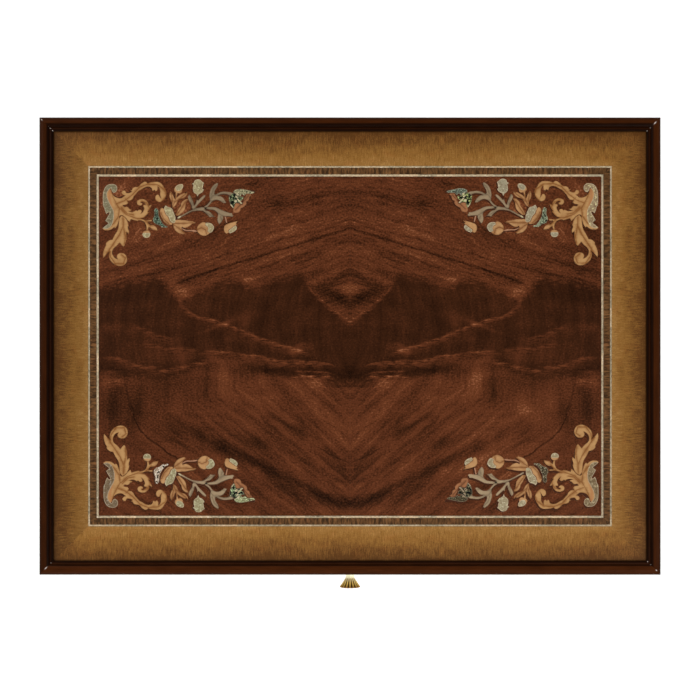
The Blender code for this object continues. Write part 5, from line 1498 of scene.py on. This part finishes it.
class TABLE_OT_top_finishes(Op, bpy.types.Operator):
    """Finishes of the field, border, cross strips and pearl lines, and their filled joints"""

    bl_idname = "side_table.top_finishes"
    bl_label = "Top finishes"

    def build(self, woods, stage):
        border, strip, flame = satinwood_border(woods), cross_strip(woods), crotch_mahogany(woods)
        dress([f"satinwood_border_{side}" for side in SIDES], border)
        dress([f"crossband_{side}" for side in SIDES], strip)
        dress(["outer_stringing", "inner_stringing"], pearl_line(woods))
        dress(both("field_leaf"), flame)
        self.mitres("border_joint", BORDER_MITRE, border, "satinwood")
        self.mitres("strip_joint", STRIP_MITRE, strip, "crossband_wood")
        middle = HALF_FIELD / MARK
        front = (FIELD_BACK - FIELD_FRONT) / MARK
        joint = self.filler((middle, 0.05), (middle, front - 0.05), FIELD_STOPPING)
        settle(joint, "field_joint")
        finish_piece(joint, flame, "table", "figured_mahogany")

    def mitres(self, name, insets, material, slot):
        """Fills the same joint at the four corners of the top."""
        field_inset = (HALF_TOP - HALF_FIELD) / MM
        start, end = ((inset - field_inset) * MM / MARK for inset in insets)
        joint = self.filler((start, start), (end, end), MITRE_STOPPING)
        for corner, signs in CORNERS.items():
            piece = turned_copy(joint, f"{name}_{corner}", signs)
            finish_piece(piece, material, "table", slot)
        bpy.data.objects.remove(joint)

    def filler(self, start, end, half_wide):
        """The thin line of stopping that closes a joint in the veneer, drawn in marks."""
        outline = strip_between(start, end, half_wide)
        return joined([cut_out(outline, VENEER_TOP - 1.1 * MM, VENEER_TOP - 0.008 * MM)])


class TABLE_OT_scrolls(Op, bpy.types.Operator):
    """The scrolled boxwood acanthus of each corner, with its shell leaf and crescent"""

    bl_idname = "side_table.scrolls"
    bl_label = "Corner scrolls"

    def build(self, woods, stage):
        pale, burnt = looks(woods.boxwood), looks(woods.burnt)
        base = motif_base("acanthus_back_left", SCROLL, SCROLL_VEINS, WARM_LINE)
        leaf = inlay(SHELL_LEAF)
        crescent = inlay(CRESCENT)
        for seed, corner in enumerate(CORNERS):
            wood = scroll_wood(f"boxwood_{corner}", pale, burnt, seed * 5.0)
            lay(base, f"scroll_{corner}", corner, wood, "marquetry", f"acanthus_{corner}")
            shades = SHELLS[corner]
            for source, kind in ((leaf, "leaf"), (crescent, "crescent")):
                black = HOLLOWS.get(kind, 0.0)
                shell = shell_finish(f"{kind}_shell_{corner}", *shades[kind], black, seed * 3.0)
                lay(source, f"shell_{kind}_{corner}", corner, shell, "mother_of_pearl")
        for used in (base, leaf, crescent):
            bpy.data.objects.remove(used)


class TABLE_OT_sprays(Op, bpy.types.Operator):
    """The flower spray of each corner: stained stems, coloured woods, pearl and abalone"""

    bl_idname = "side_table.sprays"
    bl_label = "Corner flower sprays"

    def build(self, woods, stage):
        base = motif_base("flower_spray_back_left", STEMS, SPRAY_VEINS)
        groups = {
            "sepals": (inlay(ABALONE), "mother_of_pearl"),
            "orange": (inlay(ORANGE_PARTS, ORANGE_VEINS, 2), "marquetry"),
            "russet": (inlay(RUSSET_PARTS, ORANGE_VEINS, 2), "marquetry"),
            "pink": (inlay(PINK_PARTS, level=3), "marquetry"),
            "pearl": (inlay(PEARL_PARTS, level=4), "mother_of_pearl"),
            "crest": (inlay(CREST_PARTS, level=4), "mother_of_pearl"),
            "white": (inlay(WHITE_PARTS, level=5), "mother_of_pearl"),
        }
        for seed, corner in enumerate(CORNERS):
            stained = tuple(part * STAIN_SHARES[corner] for part in looks(woods.stained))
            shadow = tuple(part * 0.76 for part in stained)
            wood = scroll_wood(f"stained_{corner}", stained, shadow, seed * 4.0)
            lay(base, f"spray_{corner}", corner, wood, "marquetry", f"flower_spray_{corner}")
            for kind, (source, slot) in groups.items():
                if kind in WOOD_TONES:
                    finish = scroll_wood(f"{kind}_wood_{corner}", *WOOD_TONES[kind], seed * 2.0)
                else:
                    shades = SHELLS[corner].get(kind, WHITE_SHELL)
                    black = HOLLOWS.get(kind, 0.0)
                    finish = shell_finish(f"{kind}_{corner}", *shades, black, seed * 2.0)
                lay(source, f"{kind}_parts_{corner}", corner, finish, slot)
        for used in [base, *(source for source, slot in groups.values())]:
            bpy.data.objects.remove(used)


class TABLE_OT_frame_finishes(Op, bpy.types.Operator):
    """Finishes of the legs, rails and inner parts of the table"""

    bl_idname = "side_table.frame_finishes"
    bl_label = "Frame finishes"

    def build(self, woods, stage):
        corners = ("front_left", "front_right", "back_right", "back_left")
        for seed, corner in enumerate(corners):
            leg = grained_wood(f"leg_{corner}", woods.mahogany, "z", fixed=POLISHED, seed=seed * 9.0)
            dress([f"leg_{corner}"], leg)
        lengthwise = grained_wood("rail_mahogany", woods.mahogany, "x", fixed=POLISHED)
        sideways = grained_wood("side_rail_mahogany", woods.mahogany, "y", fixed=POLISHED)
        dress(["back_rail", "drawer_blade", "front_top_rail"], lengthwise)
        dress(both("side_rail"), sideways)
        oak_long = grained_wood("oak_lengthwise", woods.oak, "x")
        oak_deep = grained_wood("oak_front_to_back", woods.oak, "y")
        dress(["top_panel", *both("drawer_stop", "glue_block", "top_button")], oak_long)
        dress(both("drawer_runner", "kicker"), oak_deep)
        dress([f"glide_{corner}" for corner in corners], metal("steel", woods.steel, 0.35))


class TABLE_OT_drawer_finishes(Op, bpy.types.Operator):
    """Finishes of the drawer: flamed front, cock beads and oak box"""

    bl_idname = "side_table.drawer_finishes"
    bl_label = "Drawer finishes"

    def build(self, woods, stage):
        dress(["drawer_front"], flamed_front(woods))
        bead = grained_wood("bead_mahogany", woods.mahogany, "x", fixed=POLISHED)
        upright = grained_wood("bead_mahogany_upright", woods.mahogany, "z", fixed=POLISHED)
        dress(["cock_bead_bottom", "cock_bead_top"], bead)
        dress(both("cock_bead"), upright)
        long_oak = grained_wood("drawer_oak_lengthwise", woods.oak, "x", strength=0.6, seed=4.0)
        deep_oak = grained_wood("drawer_oak_deep", woods.oak, "y", strength=0.6, seed=7.0)
        dress(["drawer_back", "drawer_bottom"], long_oak)
        dress(both("drawer_side"), deep_oak)


# Along the knob: share of its reach, share of the rim's radius, and depth of the flutes
KNOB_STATIONS = (
    (0.0, 0.655, 0), (0.05, 0.655, 0), (0.07, 0.62, 0), (0.10, 0.58, 0), (0.19, 0.49, 0),
    (0.30, 0.45, 0), (0.45, 0.435, 0), (0.55, 0.425, 0), (0.60, 0.425, 0.0),
    (0.64, 0.455, 0.06), (0.675, 0.51, 0.12), (0.71, 0.575, 0.16), (0.78, 0.695, 0.2),
    (0.845, 0.815, 0.22), (0.90, 0.925, 0.22), (0.925, 0.98, 0.2), (0.945, 1.0, 0.18),
    (0.96, 0.985, 0.16), (0.973, 0.9, 0.13), (0.985, 0.72, 0.1), (0.995, 0.38, 0.0),
    (1.0, 0.06, 0.0),
)
FLUTES = 16


class TABLE_OT_knob(Op, bpy.types.Operator):
    """The turned brass knob: waist, flared flutes and a scalloped domed end"""

    bl_idname = "side_table.knob"
    bl_label = "Knob"

    def build(self, woods, stage):
        low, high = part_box("knob")
        # A little fuller than the coarse solid, and just short of its end
        reach = (high.y - low.y) * 0.99
        widest = (high.x - low.x) / 2 * 1.06
        middle = ((low.x + high.x) / 2, high.y, (low.z + high.z) / 2)
        only(None)
        bpy.ops.mesh.primitive_circle_add(
            vertices=128, radius=widest * KNOB_STATIONS[0][1], fill_type="NOTHING",
            location=middle, rotation=(math.radians(90), 0, 0),
        )
        knob = settle(bpy.context.object, "knob_brass")
        edit(knob)
        for before, after in zip(KNOB_STATIONS, KNOB_STATIONS[1:]):
            step = (before[0] - after[0]) * reach
            grow = after[1] / before[1]
            bpy.ops.mesh.extrude_region_move(TRANSFORM_OT_translate={"value": (0, step, 0)})
            bpy.ops.transform.resize(value=(grow, 1, grow), center_override=middle)
        bpy.ops.mesh.edge_face_add()
        bpy.ops.object.mode_set(mode="OBJECT")
        self.close_foot(knob, high.y)
        self.flute(knob, middle, reach)
        right_way_out(knob)
        bpy.ops.object.shade_smooth_by_angle(angle=math.radians(60))
        finish_piece(knob, fluted_brass(woods), "drawer", "brass", "knob")
        dress(["knob_screw"], metal("screw_brass", woods.brass, 0.3))

    def close_foot(self, knob, level):
        """Closes the end against the drawer's front."""
        bpy.ops.object.mode_set(mode="EDIT")
        mesh = bmesh.from_edit_mesh(knob.data)
        for edge in mesh.edges:
            edge.select = all(abs(corner.co.y - level) < 0.01 * MM for corner in edge.verts)
        bmesh.update_edit_mesh(knob.data)
        bpy.ops.mesh.edge_face_add()
        bpy.ops.object.mode_set(mode="OBJECT")

    def flute(self, knob, middle, reach):
        """Presses the flutes in, each a round valley between two ridges."""
        shares = [station[0] for station in KNOB_STATIONS]
        depths = [station[2] for station in KNOB_STATIONS]
        hollow, outward = [], []
        for vertex in knob.data.vertices:
            across, up = vertex.co.x - middle[0], vertex.co.z - middle[2]
            turn = math.atan2(up, across)
            share = (middle[1] - vertex.co.y) / reach
            depth = float(np.interp(share, shares, depths))
            valley = 0.5 - 0.5 * math.cos(FLUTES * turn)
            scale = 1.0 - depth * valley
            vertex.co.x = middle[0] + across * scale
            vertex.co.z = middle[2] + up * scale
            hollow.append(valley * min(depth / 0.1, 1.0))
            outward.append(share)
        store(knob, "hollow", hollow)
        store(knob, "outward", outward)


class TABLE_PT_panel(bpy.types.Panel):
    """The table's steps and settings"""

    bl_idname = "TABLE_PT_panel"
    bl_label = "Side table"
    bl_space_type = "VIEW_3D"
    bl_region_type = "UI"
    bl_category = "Side table"

    def draw(self, context):
        """A button for each step, then the settings."""
        for step in STEPS:
            self.layout.operator(step.bl_idname)
        for group in (context.scene.table_stage, context.scene.table_woods):
            box = self.layout.box()
            for name in group.__annotations__:
                box.prop(group, name)


STEPS = (
    TABLE_OT_stage,
    TABLE_OT_mouldings,
    TABLE_OT_top_finishes,
    TABLE_OT_scrolls,
    TABLE_OT_sprays,
    TABLE_OT_frame_finishes,
    TABLE_OT_drawer_finishes,
    TABLE_OT_knob,
)
CLASSES = (TableStage, TableWoods, *STEPS, TABLE_PT_panel)


def register():
    """Adds the settings, operators and panel to Blender."""
    for made in CLASSES:
        bpy.utils.register_class(made)
    bpy.types.Scene.table_stage = bpy.props.PointerProperty(type=TableStage)
    bpy.types.Scene.table_woods = bpy.props.PointerProperty(type=TableWoods)


def unregister():
    """Takes them out again."""
    del bpy.types.Scene.table_woods
    del bpy.types.Scene.table_stage
    for made in reversed(CLASSES):
        bpy.utils.unregister_class(made)


def main():
    """Builds every piece in order."""
    register()
    for step in STEPS:
        getattr(bpy.ops.side_table, step.bl_idname.split(".")[1])()


if __name__ == "__main__":
    main()
